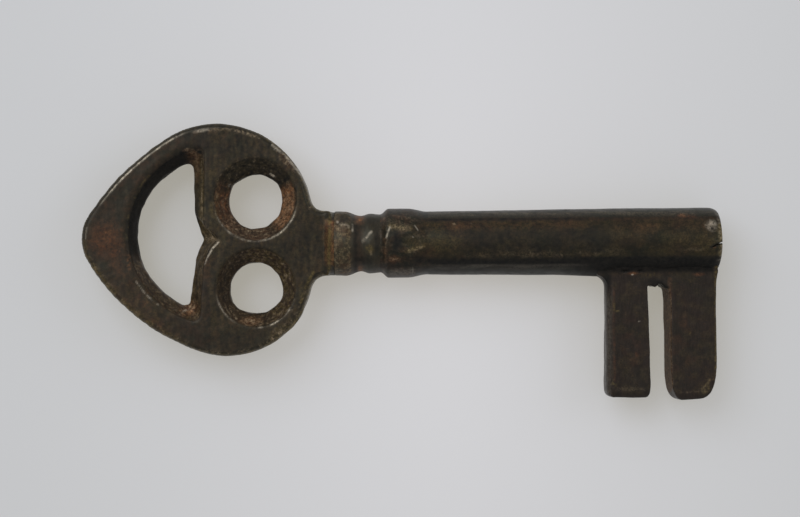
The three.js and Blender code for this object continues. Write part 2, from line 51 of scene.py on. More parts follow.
ring_middle = (Vector(ring_low) + Vector(ring_high)) / 2
SEAM = Vector((ring_low[0], ring_middle.y, ring_middle.z))
CAMERA_HEIGHT = 240
PICTURE_WIDTH = 104  # what the picture spans at the height of the shank's axis
PICTURE_CENTRE = (8.44, -1.98)
PICTURE_TURN = math.radians(0.42)


def in_frame(x, y, z):
    return SEAM + Vector((x, y, z)) * MM


camera_data = bpy.data.cameras.new("camera")
camera_data.sensor_width = 36
camera_data.lens = camera_data.sensor_width * CAMERA_HEIGHT / PICTURE_WIDTH
camera_data.clip_start = 10 * MM
camera = bpy.data.objects.new("camera", camera_data)
camera.location = in_frame(*PICTURE_CENTRE, CAMERA_HEIGHT)
camera.rotation_euler = (0, 0, -PICTURE_TURN)
bpy.context.collection.objects.link(camera)
bpy.context.scene.camera = camera
bpy.context.scene.view_settings.view_transform = "Standard"

# Floor and light
# A matt pale floor under a large soft lamp from the back left and a weaker one from the right. Half of the floor's
# tone is its own warm glow, with a painted pool of light that leaves it a little paler in the middle, and the other
# half carries the key's shadow.
FLOOR_HALF = 900 * MM
FLOOR_TONE = (0.64, 0.7, 0.86, 1)
FLOOR_POOL_MIDDLE = (0.83, 0.775, 0.67, 1)
FLOOR_POOL_EDGE = (0.57, 0.535, 0.41, 1)
FLOOR_POOL_REACH = 95 * MM
FLOOR_OWN_SHARE = 0.48
SURROUND_TONE = (0.97, 0.97, 1.0, 1)
SURROUND_LEVEL = 0.46
SURROUND_SEEN = 0.62


def add(material, kind, settings=None, **inputs):
    """A shader node with its settings, and its inputs set to values or linked to other nodes' outputs."""
    tree = material.node_tree
    node = tree.nodes.new(kind)
    for name, value in (settings or {}).items():
        setattr(node, name, value)
    for name, value in inputs.items():
        connect(material, value, node.inputs[name.replace("_", " ")])
    return node


def connect(material, value, socket):
    if isinstance(value, bpy.types.NodeSocket):
        material.node_tree.links.new(value, socket)
    else:
        socket.default_value = value


def add_math(material, operation, first, second):
    node = add(material, "ShaderNodeMath", {"operation": operation})
    connect(material, first, node.inputs[0])
    connect(material, second, node.inputs[1])
    return node.outputs[0]


def new_material(name):
    material = bpy.data.materials.new(name)
    material.use_nodes = True
    material.node_tree.nodes.clear()
    return material


def close_material(material, shader):
    output = material.node_tree.nodes.new("ShaderNodeOutputMaterial")
    connect(material, shader, output.inputs["Surface"])


floor_material = new_material("pale_floor")
ray = add(floor_material, "ShaderNodeLightPath").outputs
floor_seen = add_math(floor_material, "MAXIMUM", ray["Is Camera Ray"], ray["Is Glossy Ray"])
floor_seen = add_math(floor_material, "MAXIMUM", floor_seen, ray["Is Transmission Ray"])
floor_paint = add(floor_material, "ShaderNodeBsdfPrincipled", Base_Color=FLOOR_TONE, Roughness=0.9)
floor_place = add(floor_material, "ShaderNodeTexCoord").outputs["Object"]
# A painted pool of light, paler in the middle of the floor
floor_spread = add(
    floor_material,
    "ShaderNodeMapping",
    Vector=floor_place,
    Location=(-0.06, 0.0, 0.0),
    Scale=(1 / FLOOR_POOL_REACH, 0.4 / FLOOR_POOL_REACH, 1),
)
floor_light_pool = add(
    floor_material, "ShaderNodeTexGradient", {"gradient_type": "QUADRATIC_SPHERE"}, Vector=floor_spread.outputs[0]
)
floor_pool_tone = add(floor_material, "ShaderNodeMix", {"data_type": "RGBA"})
connect(floor_material, floor_light_pool.outputs["Fac"], floor_pool_tone.inputs[0])
connect(floor_material, FLOOR_POOL_EDGE, floor_pool_tone.inputs[6])
connect(floor_material, FLOOR_POOL_MIDDLE, floor_pool_tone.inputs[7])
floor_glow = add(floor_material, "ShaderNodeEmission", Color=floor_pool_tone.outputs[2], Strength=1.0)
floor_share = add_math(floor_material, "MULTIPLY", floor_seen, FLOOR_OWN_SHARE)
floor_mix = add(floor_material, "ShaderNodeMixShader", Fac=floor_share)
connect(floor_material, floor_paint.outputs[0], floor_mix.inputs[1])
connect(floor_material, floor_glow.outputs[0], floor_mix.inputs[2])
close_material(floor_material, floor_mix.outputs[0])
floor_mesh = bpy.data.meshes.new("floor")
floor_bm = bmesh.new()
bmesh.ops.create_grid(floor_bm, x_segments=1, y_segments=1, size=FLOOR_HALF)
floor_bm.to_mesh(floor_mesh)
floor_bm.free()
floor_mesh.materials.append(floor_material)
floor = bpy.data.objects.new("floor", floor_mesh)
bpy.context.collection.objects.link(floor)

world = bpy.data.worlds.new("surround")
world.use_nodes = True
bpy.context.scene.world = world
surround = world.node_tree.nodes["Background"]
surround.inputs["Color"].default_value = SURROUND_TONE
seen = add(world, "ShaderNodeLightPath").outputs["Is Camera Ray"]
level = add(world, "ShaderNodeMapRange", Value=seen, To_Min=SURROUND_LEVEL, To_Max=SURROUND_SEEN).outputs[0]
connect(world, level, surround.inputs["Strength"])


def soft_lamp(name, place, size, power):
    lamp_data = bpy.data.lights.new(name, "AREA")
    lamp_data.shape = "SQUARE"
    lamp_data.size = size * MM
    lamp_data.energy = power
    lamp = bpy.data.objects.new(name, lamp_data)
    lamp.location = in_frame(*place)
    lamp.rotation_euler = (-Vector(place)).to_track_quat("-Z", "Y").to_euler()
    bpy.context.collection.objects.link(lamp)


soft_lamp("back_left_lamp", (-200, 220, 370), 400, 1.05)
soft_lamp("right_lamp", (380, 120, 260), 260, 0.3)

# Bow
# The bow is a cast bronze plate, leaning a little off the line of the shank. A half-round window and two round
# holes are filed through it from both faces, and its stub swells into a round boss at the seam.
BOW_LEAN = math.radians(1.8)
BOW_LENGTH = 32.6
BOW_HALF_THICKNESS = 2.7
RIM_ROUNDING = 0.65
RIM_FALL = 1.0  # the same rounding, measured through the thickness
STUB_HALF_WIDTH = 4.15
TIP_RADIUS = 5.7
TIP_OFFSET = -0.1
UPPER_LOBE = dict(side=1, distance=15.2, offset=3.0, radius=12.1, flank=33.5, fillet=2.0)
LOWER_LOBE = dict(side=-1, distance=13.8, offset=3.85, radius=11.0, flank=28.0, fillet=2.1)
BOSS_RADIUS = 4.12
BOSS_LENGTH = 1.3
LAND_HALF = 0.6
BOW_SKIN = 0.157  # the size of the finished mesh's squares


def arc(centre, radius, start, end, steps):
    points = []
    for i in range(steps + 1):
        angle = start + (end - start) * i / steps
        points.append(Vector((centre.x + radius * math.cos(angle), centre.y + radius * math.sin(angle))))
    return points


def angle_from(centre, point):
    return math.atan2(point.y - centre.y, point.x - centre.x)


def flank_centre(tip, lobe, centre):
    to_tip = lobe["flank"] - TIP_RADIUS
    to_lobe = lobe["flank"] - lobe["radius"]
    apart = centre - tip
    span = apart.length
    along = (to_tip ** 2 - to_lobe ** 2 + span ** 2) / (2 * span)
    across = math.sqrt(to_tip ** 2 - along ** 2)
    unit = apart / span
    normal = Vector((-unit.y, unit.x)) * lobe["side"]
    return tip + unit * along - normal * across


def half_outline(tip, lobe):
    """From the tip round one lobe to the stub, as arcs that touch each other."""
    side = lobe["side"]
    centre = Vector((-lobe["distance"], side * lobe["offset"]))
    flank = flank_centre(tip, lobe, centre)
    fillet_y = side * (STUB_HALF_WIDTH + lobe["fillet"])
    reach = lobe["radius"] + lobe["fillet"]
    fillet = Vector((centre.x + math.sqrt(reach ** 2 - (fillet_y - centre.y) ** 2), fillet_y))
    tip_end = angle_from(flank, tip)
    flank_end = angle_from(flank, centre)
    lobe_end = angle_from(centre, fillet)
    return (
        arc(tip, TIP_RADIUS, side * math.pi, tip_end, 12)
        + arc(flank, lobe["flank"], tip_end, flank_end, 30)[1:]
        + arc(centre, lobe["radius"], flank_end, lobe_end, 60)[1:]
        + arc(fillet, lobe["fillet"], lobe_end + side * math.pi, 1.5 * side * math.pi, 10)[1:]
    )


def edge_loop(bm, points, height):
    verts = [bm.verts.new((point[0], point[1], height)) for point in points]
    return [bm.edges.new((verts[i - 1], verts[i])) for i in range(len(verts))]


def cap(bm, edges):
    bmesh.ops.contextual_create(bm, geom=edges)


def link_mesh(name, bm):
    bmesh.ops.recalc_face_normals(bm, faces=bm.faces)
    mesh = bpy.data.meshes.new(name)
    bm.to_mesh(mesh)
    bm.free()
    piece = bpy.data.objects.new(name, mesh)
    bpy.context.collection.objects.link(piece)
    return piece


def settle(piece):
    """Applies the piece's modifiers to its mesh."""
    depsgraph = bpy.context.evaluated_depsgraph_get()
    mesh = bpy.data.meshes.new_from_object(piece.evaluated_get(depsgraph))
    piece.modifiers.clear()
    piece.data = mesh


def reskin(piece, square, passes):
    """Covers the piece with an even mesh of small squares, and rounds its edges over by smoothing that mesh."""
    cover = piece.modifiers.new("skin", "REMESH")
    cover.mode = "VOXEL"
    cover.voxel_size = square
    settle(piece)
    bm = bmesh.new()
    bm.from_mesh(piece.data)
    for _ in range(passes):
        bmesh.ops.smooth_vert(bm, verts=bm.verts, factor=0.5, use_axis_x=True, use_axis_y=True, use_axis_z=True)
    bm.to_mesh(piece.data)
    bm.free()


def filed_through(name, through, face):
    """A cutter that is straight through the land in the middle and flares past both faces."""
    past = BOW_HALF_THICKNESS + 0.5
    flare = (past - LAND_HALF) / (BOW_HALF_THICKNESS - LAND_HALF)
    widest = [inner.lerp(outer, flare) for inner, outer in zip(through, face)]
    bm = bmesh.new()
    loops = [
        edge_loop(bm, widest, -past),
        edge_loop(bm, through, -LAND_HALF),
        edge_loop(bm, through, LAND_HALF),
        edge_loop(bm, widest, past),
    ]
    for low, high in zip(loops, loops[1:]):
        bmesh.ops.bridge_loops(bm, edges=low + high)
    cap(bm, loops[0])
    cap(bm, loops[-1])
    return link_mesh(name, bm)


def cut(piece, cutter):
    knife = piece.modifiers.new("cut", "BOOLEAN")
    knife.operation = "DIFFERENCE"
    knife.solver = "EXACT"
    knife.object = cutter
    settle(piece)
    bpy.data.objects.remove(cutter)


WINDOW_NOSE = Vector((-15.85, 0.75))
WINDOW_NOSE_RADIUS = 9.85
WINDOW_SIDE = -18.55
WINDOW_FLANK_BEVEL = 1.8
WINDOW_NOSE_BEVEL = 0.9
WINDOW_SIDE_BEVEL = 1.6


def window_contour(nose, radius, side_x, corner_radius, notch):
    """A half round with a straight side on the right, which has a notch worn into it."""
    def corner(direction):
        x = side_x - corner_radius
        reach = radius - corner_radius
        return Vector((x, nose.y + direction * math.sqrt(reach ** 2 - (x - nose.x) ** 2)))

    upper = corner(1)
    lower = corner(-1)
    upper_angle = angle_from(nose, upper)
    lower_angle = angle_from(nose, lower)
    return (
        arc(upper, corner_radius, 0, upper_angle, 8)
        + arc(nose, radius, upper_angle, lower_angle + 2 * math.pi, 96)[1:]
        + arc(lower, corner_radius, lower_angle, 0, 8)[1:]
        + [Vector((side_x + depth, y)) for depth, y in notch]
    )


bow_bm = bmesh.new()
bow_tip = Vector((TIP_RADIUS - BOW_LENGTH, TIP_OFFSET))
upper_half = half_outline(bow_tip, UPPER_LOBE)
lower_half = half_outline(bow_tip, LOWER_LOBE)
stub_end = [Vector((-0.6, STUB_HALF_WIDTH)), Vector((-0.6, -STUB_HALF_WIDTH))]
bow_outline = upper_half + stub_end + lower_half[:0:-1]
cap(bow_bm, edge_loop(bow_bm, bow_outline, -BOW_HALF_THICKNESS))
grown = bmesh.ops.extrude_face_region(bow_bm, geom=bow_bm.faces[:])
raised = [item for item in grown["geom"] if isinstance(item, bmesh.types.BMVert)]
bmesh.ops.translate(bow_bm, verts=raised, vec=(0, 0, 2 * BOW_HALF_THICKNESS))
rims = [edge for edge in bow_bm.edges if abs(edge.verts[0].co.z - edge.verts[1].co.z) < 0.01]
bmesh.ops.bevel(
    bow_bm,
    geom=rims,
    offset=RIM_ROUNDING,
    segments=5,
    profile=0.5,
    affect="EDGES",
    material=-1,
    clamp_overlap=True,
)
bow = link_mesh("bow_plate", bow_bm)

window_through = window_contour(
    WINDOW_NOSE, WINDOW_NOSE_RADIUS, WINDOW_SIDE, 0.75, ((0.58, -2.45), (0.95, -1.2), (1.5, 0.1), (0.32, 3.45))
)
window_face = window_contour(
    WINDOW_NOSE + Vector((WINDOW_FLANK_BEVEL - WINDOW_NOSE_BEVEL, 0)),
    WINDOW_NOSE_RADIUS + WINDOW_FLANK_BEVEL,
    WINDOW_SIDE + WINDOW_SIDE_BEVEL,
    0.75,
    ((0.3, -2.9), (0.85, -1.3), (2.05, 0.3), (0.1, 2.3)),
)
cut(bow, filed_through("window_cutter", window_through, window_face))


HOLE_ROUNDNESS = 0.5  # of the sides between the corners
UPPER_HOLE = Vector((-10.4, 5.25))
UPPER_SINK = Vector((-10.3, 5.45))
UPPER_SINK_RADIUS = 5.4
LOWER_HOLE = Vector((-9.97, -5.93))
LOWER_SINK = Vector((-9.95, -5.9))
LOWER_SINK_RADIUS = 5.15

# Each corner's direction in degrees, and its distance from the hole's centre
UPPER_CORNERS = (
    (1, 3.45), (22, 3.5), (41, 3.61), (63, 3.46), (82, 3.6), (102, 3.42), (122, 3.43),
    (147, 3.63), (175, 3.52), (201, 3.58), (238, 3.6), (262, 3.62), (298, 3.56), (331, 3.5), (361, 3.45),
)
LOWER_CORNERS = (
    (1, 3.42), (31, 3.22), (58, 3.21), (82, 3.27), (112, 3.28), (142, 3.37), (172, 3.5),
    (201, 3.57), (212, 3.7), (232, 3.6), (253, 3.42), (291, 3.38), (331, 3.52), (352, 3.45), (361, 3.42),
)


def toward(centre, degrees, reach):
    angle = math.radians(degrees)
    return centre + Vector((math.cos(angle), math.sin(angle))) * reach


def filed_hole(name, centre, corners, sink, sink_radius):
    """A hole filed by hand: its inner edge has blunt corners, its countersink is round."""
    through = []
    for (start, near), (end, far) in zip(corners, corners[1:]):
        for i in range(6):
            t = i / 6
            chord = toward(centre, start, near).lerp(toward(centre, end, far), t)
            bent = toward(centre, start + (end - start) * t, near + (far - near) * t)
            through.append(chord.lerp(bent, HOLE_ROUNDNESS))
    face = [sink + (point - centre).normalized() * sink_radius for point in through]
    return filed_through(name, through, face)


cut(bow, filed_hole("upper_cutter", UPPER_HOLE, UPPER_CORNERS, UPPER_SINK, UPPER_SINK_RADIUS))
cut(bow, filed_hole("lower_cutter", LOWER_HOLE, LOWER_CORNERS, LOWER_SINK, LOWER_SINK_RADIUS))
bow.data.transform(Matrix.Rotation(-BOW_LEAN, 4, "Z"))

boss_bm = bmesh.new()
boss_bm.from_mesh(bow.data)
boss_steps = 7
boss_loops = []
for step in range(boss_steps + 1):
    t = step / boss_steps
    half_width = STUB_HALF_WIDTH - 0.1 + (BOSS_RADIUS - STUB_HALF_WIDTH + 0.1) * t
    half_height = BOW_HALF_THICKNESS - 0.1 + (BOSS_RADIUS - BOW_HALF_THICKNESS + 0.1) * t ** 0.8
    power = 2 + 2 * (1 - t) ** 2
    ring = []
    for i in range(72):
        angle = 2 * math.pi * i / 72
        c = math.cos(angle)
        s = math.sin(angle)
        reach = (abs(c / half_width) ** power + abs(s / half_height) ** power) ** (-1 / power)
        ring.append(boss_bm.verts.new((-BOSS_LENGTH * (1 - t), reach * c, reach * s)))
    boss_loops.append([boss_bm.edges.new((ring[i - 1], ring[i])) for i in range(len(ring))])
for low, high in zip(boss_loops, boss_loops[1:]):
    bmesh.ops.bridge_loops(boss_bm, edges=low + high)
cap(boss_bm, boss_loops[0])
cap(boss_bm, boss_loops[-1])
bpy.data.objects.remove(bow)
bow = link_mesh("bow_plate", boss_bm)
reskin(bow, BOW_SKIN, 3)


def cloud(points, size, seed):
    """Smooth noise, about -1 to 1, that turns over every few times size millimetres."""
    shift = np.array((17.3, 5.1, 9.7)) * seed
    return np.array([noise.noise(Vector(point)) for point in points / size + shift]) * 1.7


def mesh_points(piece):
    count = len(piece.data.vertices)
    points = np.empty(count * 3)
    piece.data.vertices.foreach_get("co", points)
    normals = np.empty(count * 3)
    piece.data.vertices.foreach_get("normal", normals)
    return points.reshape(count, 3), normals.reshape(count, 3)


def move_points(piece, points):
    piece.data.vertices.foreach_set("co", points.ravel())
    piece.data.update()


def broken(points, size, seed, share=0.5):
    """Uneven patches from 0 to 1 that cover about this share of a surface."""
    return np.clip((cloud(points, size, seed) + 2 * share - 1) * 1.4 + 0.5, 0, 1)


def spot(points, x, y, length, width=None, turn=0):
    """1 inside an oval on the upper side, falling to 0 at its uneven edge. Sizes are half sizes."""
    angle = math.radians(turn)
    across = points[:, :2] - (x, y)
    u = (across[:, 0] * math.cos(angle) + across[:, 1] * math.sin(angle)) / length
    v = (across[:, 1] * math.cos(angle) - across[:, 0] * math.sin(angle)) / (width or length)
    return np.clip(1.6 - 1.6 * np.sqrt(u * u + v * v), 0, 1) * (points[:, 2] > 0)


def stroke(points, width, *path):
    """1 along a line through the given places on the upper side, falling to 0 beside it."""
    gap = np.full(len(points), 99.0)
    for start, end in zip(path, path[1:]):
        span = np.subtract(end, start)
        t = np.clip((points[:, :2] - start) @ span / (span @ span), 0, 1)
        gap = np.minimum(gap, np.linalg.norm(points[:, :2] - start - t[:, None] * span, axis=1))
    return np.clip(1.5 - 1.5 * gap / width, 0, 1) * (points[:, 2] > 0)


def closely(contour, step=0.12):
    """The same closed contour with a point at least every step millimetres."""
    points = []
    for start, end in zip(contour, contour[1:] + contour[:1]):
        count = math.ceil((end - start).length / step)
        points += [start.lerp(end, i / count) for i in range(count)]
    return points


def gap_to(points, contour):
    """How far each point lies from a contour, on the plan."""
    places = closely(contour)
    tree = kdtree.KDTree(len(places))
    for i, place in enumerate(places):
        tree.insert(place.to_3d(), i)
    tree.balance()
    return np.array([tree.find((x, y, 0))[2] for x, y in points[:, :2]])


def ridge(distance, at, half_width):
    """1 where a distance has the given value, falling to 0 on both sides."""
    return np.exp(-(((distance - at) / half_width) ** 2))


def sector(points, centre, start, end):
    """1 between two directions from a centre, in degrees counted from the right, and 0 past them."""
    middle = (start + end) / 2
    direction = np.degrees(np.arctan2(points[:, 1] - centre[1], points[:, 0] - centre[0]))
    away = np.abs((direction - middle + 180) % 360 - 180)
    return np.clip(((end - start) / 2 - away) / 15 + 0.5, 0, 1)


def paint(piece, **layers):
    """Stores each layer of finish as a value from 0 to 1 at every point of the mesh."""
    for name, values in layers.items():
        layer = piece.data.attributes.new(name, "FLOAT", "POINT")
        layer.data.foreach_set("value", np.clip(values, 0, 1).astype(np.float32))


def set_down(piece, material, crease=80):
    """Puts the finished piece in its place in the frame, smooth but for edges sharper than the given degrees."""
    bm = bmesh.new()
    bm.from_mesh(piece.data)
    bmesh.ops.remove_doubles(bm, verts=bm.verts, dist=0.002)
    bm.to_mesh(piece.data)
    bm.free()
    piece.data.transform(Matrix.Translation(SEAM) @ Matrix.Scale(MM, 4))
    piece.data.polygons.foreach_set("use_smooth", [True] * len(piece.data.polygons))
    piece.data.set_sharp_from_angle(angle=math.radians(crease))
    piece.data.materials.clear()
    piece.data.materials.append(material)
    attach(piece, "root")


def srgb(red, green, blue):
    def linear(value):
        share = value / 255
        return share / 12.92 if share <= 0.04045 else ((share + 0.055) / 1.055) ** 2.4

    return (linear(red), linear(green), linear(blue), 1)


def blended(material, factor, first, second):
    node = add(material, "ShaderNodeMix", {"data_type": "RGBA", "clamp_factor": True})
    connect(material, factor, node.inputs[0])
    connect(material, first, node.inputs[6])
    connect(material, second, node.inputs[7])
    return node.outputs[2]


def product(material, first, second):
    return add_math(material, "MULTIPLY", first, second)


def ranged(material, value, low, high, to_low=0.0, to_high=1.0):
    node = add(
        material, "ShaderNodeMapRange", Value=value, From_Min=low, From_Max=high, To_Min=to_low, To_Max=to_high
    )
    return node.outputs[0]


def layer(material, name):
    return add(material, "ShaderNodeAttribute", {"attribute_name": name}).outputs["Fac"]


def patina(name, olive, brown, file_marks, gloss=0.36, grain=0.2, specks=0.3):
    """Bronze gone dark, olive in places and brown in others, with file marks finer along the larger numbers. Its
    painted layers are red rust-brown, coppery corrosion, olive and tan deposits, black dirt and bare metal; the
    rust-brown also lays painted sheen and shade, the black also painted shade, and the tan and the bare metal painted
    highlights."""
    material = new_material(name)
    where = add(material, "ShaderNodeTexCoord").outputs["Object"]
    in_mm = add(material, "ShaderNodeMapping", Vector=where, Scale=(1000, 1000, 1000)).outputs[0]
    along = add(material, "ShaderNodeMapping", Vector=where, Scale=[1000 * n for n in file_marks]).outputs[0]
    patches = add(material, "ShaderNodeTexNoise", Vector=in_mm, Scale=0.3, Detail=3.0, Roughness=0.5).outputs[0]
    mottle = add(material, "ShaderNodeTexNoise", Vector=in_mm, Scale=1.9, Detail=5.0, Roughness=0.65).outputs[0]
    fine = add(material, "ShaderNodeTexNoise", Vector=in_mm, Scale=4.8, Detail=4.0, Roughness=0.65).outputs[0]
    lines = add(material, "ShaderNodeTexNoise", Vector=along, Scale=1.0, Detail=4.0, Roughness=0.6).outputs[0]

    def tinted(under, name, low, high, faint, first, second):
        """Lays a painted layer over what is under it, thinned where the fine grain is low."""
        share = product(material, layer(material, name), ranged(material, fine, low, high, faint, 1.0))
        tone = blended(material, ranged(material, mottle, 0.35, 0.65), srgb(*first), srgb(*second))
        return share, blended(material, share, under, tone)

    colour = blended(material, ranged(material, patches, 0.38, 0.62), srgb(*olive), srgb(*brown))
    shade = product(
        material, ranged(material, mottle, 0.3, 0.7, 0.9, 1.1), ranged(material, lines, 0.35, 0.65, 0.82, 1.18)
    )
    colour = add(material, "ShaderNodeHueSaturation", Color=colour, Value=shade).outputs[0]
    speckle = ranged(material, fine, 0.58, 0.72, 0.0, specks)
    colour = blended(material, speckle, colour, srgb(104, 78, 52))

    rust, colour = tinted(colour, "rust", 0.34, 0.6, 0.45, (58, 40, 30), (102, 66, 44))
    warm, colour = tinted(colour, "warm", 0.36, 0.56, 0.2, (92, 58, 38), (166, 116, 76))
    olive_dust, colour = tinted(colour, "olive", 0.38, 0.54, 0.2, (84, 72, 40), (118, 102, 62))
    tan, colour = tinted(colour, "tan", 0.4, 0.56, 0.0, (128, 108, 82), (172, 154, 126))
    dark, colour = tinted(colour, "dark", 0.3, 0.5, 0.7, (15, 15, 14), (34, 32, 28))
    worn, colour = tinted(colour, "worn", 0.34, 0.5, 0.1, (202, 190, 168), (226, 214, 194))

    matt = add_math(material, "MAXIMUM", product(material, rust, 0.3), product(material, dark, 0.3))
    matt = add_math(material, "MAXIMUM", matt, product(material, warm, 0.25))
    rough = add_math(material, "ADD", ranged(material, mottle, 0.3, 0.7, gloss - 0.05, gloss + 0.07), matt)
    metal = ranged(material, worn, 0.0, 1.0, 0.35, 0.95)
    height = add_math(material, "ADD", product(material, fine, 0.6), product(material, lines, 0.6))
    bumped = add(material, "ShaderNodeBump", Height=height, Strength=grain, Distance=0.05 * MM).outputs[0]
    finish = add(
        material,
        "ShaderNodeBsdfPrincipled",
        Base_Color=colour,
        Roughness=rough,
        Metallic=metal,
        Specular_IOR_Level=0.24,
        Normal=bumped,
    )
    close_material(material, finish.outputs[0])
    return material


bow_points, bow_normals = mesh_points(bow)
upright = bow_points[:, :2] @ np.array(Matrix.Rotation(BOW_LEAN, 2)).T
rim_gap = gap_to(upright, bow_outline)
window_gap = gap_to(upright, window_face)
upper_reach = np.linalg.norm(upright - UPPER_SINK, axis=1)
lower_reach = np.linalg.norm(upright - LOWER_SINK, axis=1)
in_upper = np.clip((UPPER_SINK_RADIUS - upper_reach) / 0.25, 0, 1)
in_lower = np.clip((LOWER_SINK_RADIUS - lower_reach) / 0.25, 0, 1)
sunk = np.clip((BOW_HALF_THICKNESS - 0.1 - np.abs(bow_points[:, 2])) / 0.15, 0, 1)
in_window = sunk * (window_gap < 2.6) * (rim_gap > 1.2) * (1 - in_upper) * (1 - in_lower)
on_face = (1 - sunk) * (rim_gap > RIM_ROUNDING) * (bow_points[:, 0] < -BOSS_LENGTH)
window_left = sector(upright, (-17.5, 0.5), 95, 200)

# The rim falls away in a quarter of an oval, and the window's edge is worn round on the left.
rim_side = np.clip((RIM_ROUNDING - rim_gap) / RIM_ROUNDING, 0, 1)
rim_height = BOW_HALF_THICKNESS - RIM_FALL + RIM_FALL * np.sqrt(1 - rim_side ** 2)
bow_height = np.abs(bow_points[:, 2])
bow_height = np.where(bow_points[:, 0] < -BOSS_LENGTH, np.minimum(bow_height, rim_height), bow_height)
bow_height -= 0.2 * window_left * np.clip(1 - window_gap / 0.9, 0, 1) ** 2 * np.clip(bow_height - 1.0, 0, 1)
bow_points[:, 2] = np.sign(bow_points[:, 2]) * bow_height

pitted = spot(bow_points, -18.7, 11.9, 1.3, 0.7, 20) + spot(bow_points, -18.9, -8.1, 1.5, 0.9, -30)
dimples = spot(bow_points, -13.5, 7.65, 0.35) + spot(bow_points, -13.2, -7.15, 0.3)
bow_depth = 0.045 * cloud(bow_points, 3.5, 1) + 0.018 * cloud(bow_points, 0.9, 2)
bow_depth += 0.04 * np.maximum(np.maximum(in_upper, in_lower), in_window) * cloud(bow_points, 1.1, 3)
bow_depth += 0.13 * pitted * cloud(bow_points, 0.5, 4) - 0.12 * dimples
bow_depth += 0.16 * spot(bow_points, -5.0, -9.9, 2.4, 1.6, 48) * (1 - np.abs(bow_normals[:, 2]))
bow_points += bow_normals * bow_depth[:, None]
move_points(bow, bow_points)

patchy = broken(bow_points, 1.1, 5, 0.6)
grainy = broken(bow_points, 0.42, 6)
flecks = broken(bow_points, 0.4, 7, 0.3)
bow_paint = {name: np.zeros(len(bow_points)) for name in ("rust", "warm", "olive", "tan", "dark", "worn")}

# The faces: a rusty blotch at the tip, browner sides, and a broken bright line where the rim turns over, which is bare
# metal painted brighter as a highlight, with painted shade on the rim's outer slope beyond it
bow_paint["rust"] += 0.7 * spot(bow_points, -29.4, 0.7, 2.6, 3.0) + 0.35 * spot(bow_points, -28.0, -2.0, 1.3, 2.6)
bow_paint["rust"] += 0.15 * spot(bow_points, -24.5, -9.0, 6.5, 1.4, -40) + 0.12 * patchy * on_face
bow_paint["warm"] += 0.3 * spot(bow_points, -29.3, 1.3, 1.6, 0.8) * grainy
bow_paint["olive"] += 0.3 * spot(bow_points, -15.8, 5.5, 1.4, 5.5) * patchy
bow_paint["olive"] += 0.12 * on_face * (bow_points[:, 0] > -16)
# Painted shade on the rim's outer slope, on its upper left
outer_band = np.clip((0.42 - rim_gap) / 0.1, 0, 1)
bow_paint["dark"] += 0.45 * outer_band * sector(upright, (-17, 2), 60, 190)
bow_paint["olive"] += 0.6 * ridge(rim_gap, 0.06, 0.11) + 0.3 * outer_band * grainy
bow_paint["tan"] += 0.35 * ridge(rim_gap, 0.12, 0.07) * sector(upright, (-19, 3), 95, 150) * patchy
lower_left = sector(upright, (-17, 3), 195, 262)
bow_paint["olive"] += 0.45 * ridge(rim_gap, 0.4, 0.35) * lower_left * patchy
bow_paint["tan"] += 0.35 * ridge(rim_gap, 0.45, 0.3) * sector(upright, (-17, 3), 195, 330) * flecks
bow_paint["rust"] += 0.25 * ridge(rim_gap, 0.35, 0.25) * lower_left * grainy
# Bare metal along the rim's upper left, painted brighter as the lamp's highlight, with a bright painted highlight at
# its top end and a tan line carrying it on to the right
bow_paint["worn"] += 0.6 * ridge(rim_gap, 0.52, 0.1) * sector(upright, (-19, 3), 98, 168) * (0.35 + 0.65 * grainy)
bow_paint["worn"] += 0.13 * stroke(bow_points, 0.14, (-31.85, 2.3), (-31.95, 0.9))
bow_paint["worn"] += 0.42 * spot(bow_points, -16.9, 14.65, 1.5, 0.24, 9) * (0.4 + 0.6 * grainy)
bow_paint["tan"] += 0.55 * stroke(bow_points, 0.3, (-16, 14.75), (-13.9, 14.75), (-11.6, 14.4), (-9.7, 13.7)) * grainy
# Broken bare metal near the outline on the upper right, painted brighter as highlights
upper_right = stroke(bow_points, 0.16, (-7.9, 12.75), (-7.1, 12.1), (-6.0, 11.1), (-5.2, 10.1), (-4.1, 8.7))
bow_paint["worn"] += 0.55 * upper_right * broken(bow_points, 0.6, 8, 0.7) + 0.2 * spot(bow_points, -7.4, 12.2, 0.4, 0.2)
bow_paint["rust"] += 0.4 * spot(bow_points, -6.1, 10.6, 2.0, 0.8, -48)
bow_paint["tan"] += 0.6 * spot(bow_points, -6.2, 10.8, 2.3, 0.7, -48) * grainy + 0.5 * spot(bow_points, -3.1, 4.6, 0.3)
bow_paint["tan"] += 0.36 * spot(bow_points, -7.0, -11.2, 3.2, 1.0, 38) * flecks
bow_paint["olive"] += 0.3 * spot(bow_points, -7.0, -11.4, 3.4, 1.1, 38) * (0.5 + 0.5 * grainy)
bow_paint["olive"] += 0.9 * stroke(bow_points, 0.28, (-2.8, -3.7), (-3.6, -5.3), (-4.4, -7.5)) * (0.3 + 0.7 * grainy)
bow_paint["tan"] += 0.7 * spot(bow_points, -5.6, -8.5, 0.3)
streaks = broken(bow_points * (1.0, 0.2, 1.0), 0.42, 21)
streaked = on_face * np.clip((bow_points[:, 0] + 22) / 6, 0.15, 1) * np.clip((bow_points[:, 1] + 12) / 4, 0.35, 1)
bow_paint["dark"] += streaked * (0.14 + 0.26 * streaks) + 0.25 * flecks * on_face
bow_paint["dark"] += 0.25 * on_face * spot(bow_points, -4.0, 0.0, 3.0, 4.0)
bow_paint["dark"] += 0.2 * on_face * (spot(bow_points, -12.5, 12.3, 8.0, 3.0) + spot(bow_points, -9.5, -0.2, 4.5, 2.6))
bow_paint["dark"] += on_face * (0.36 * spot(bow_points, -12.5, -12.6, 6.0, 2.4) + 0.3 * spot(bow_points, -15.7, 7.0, 1.1, 2.4))
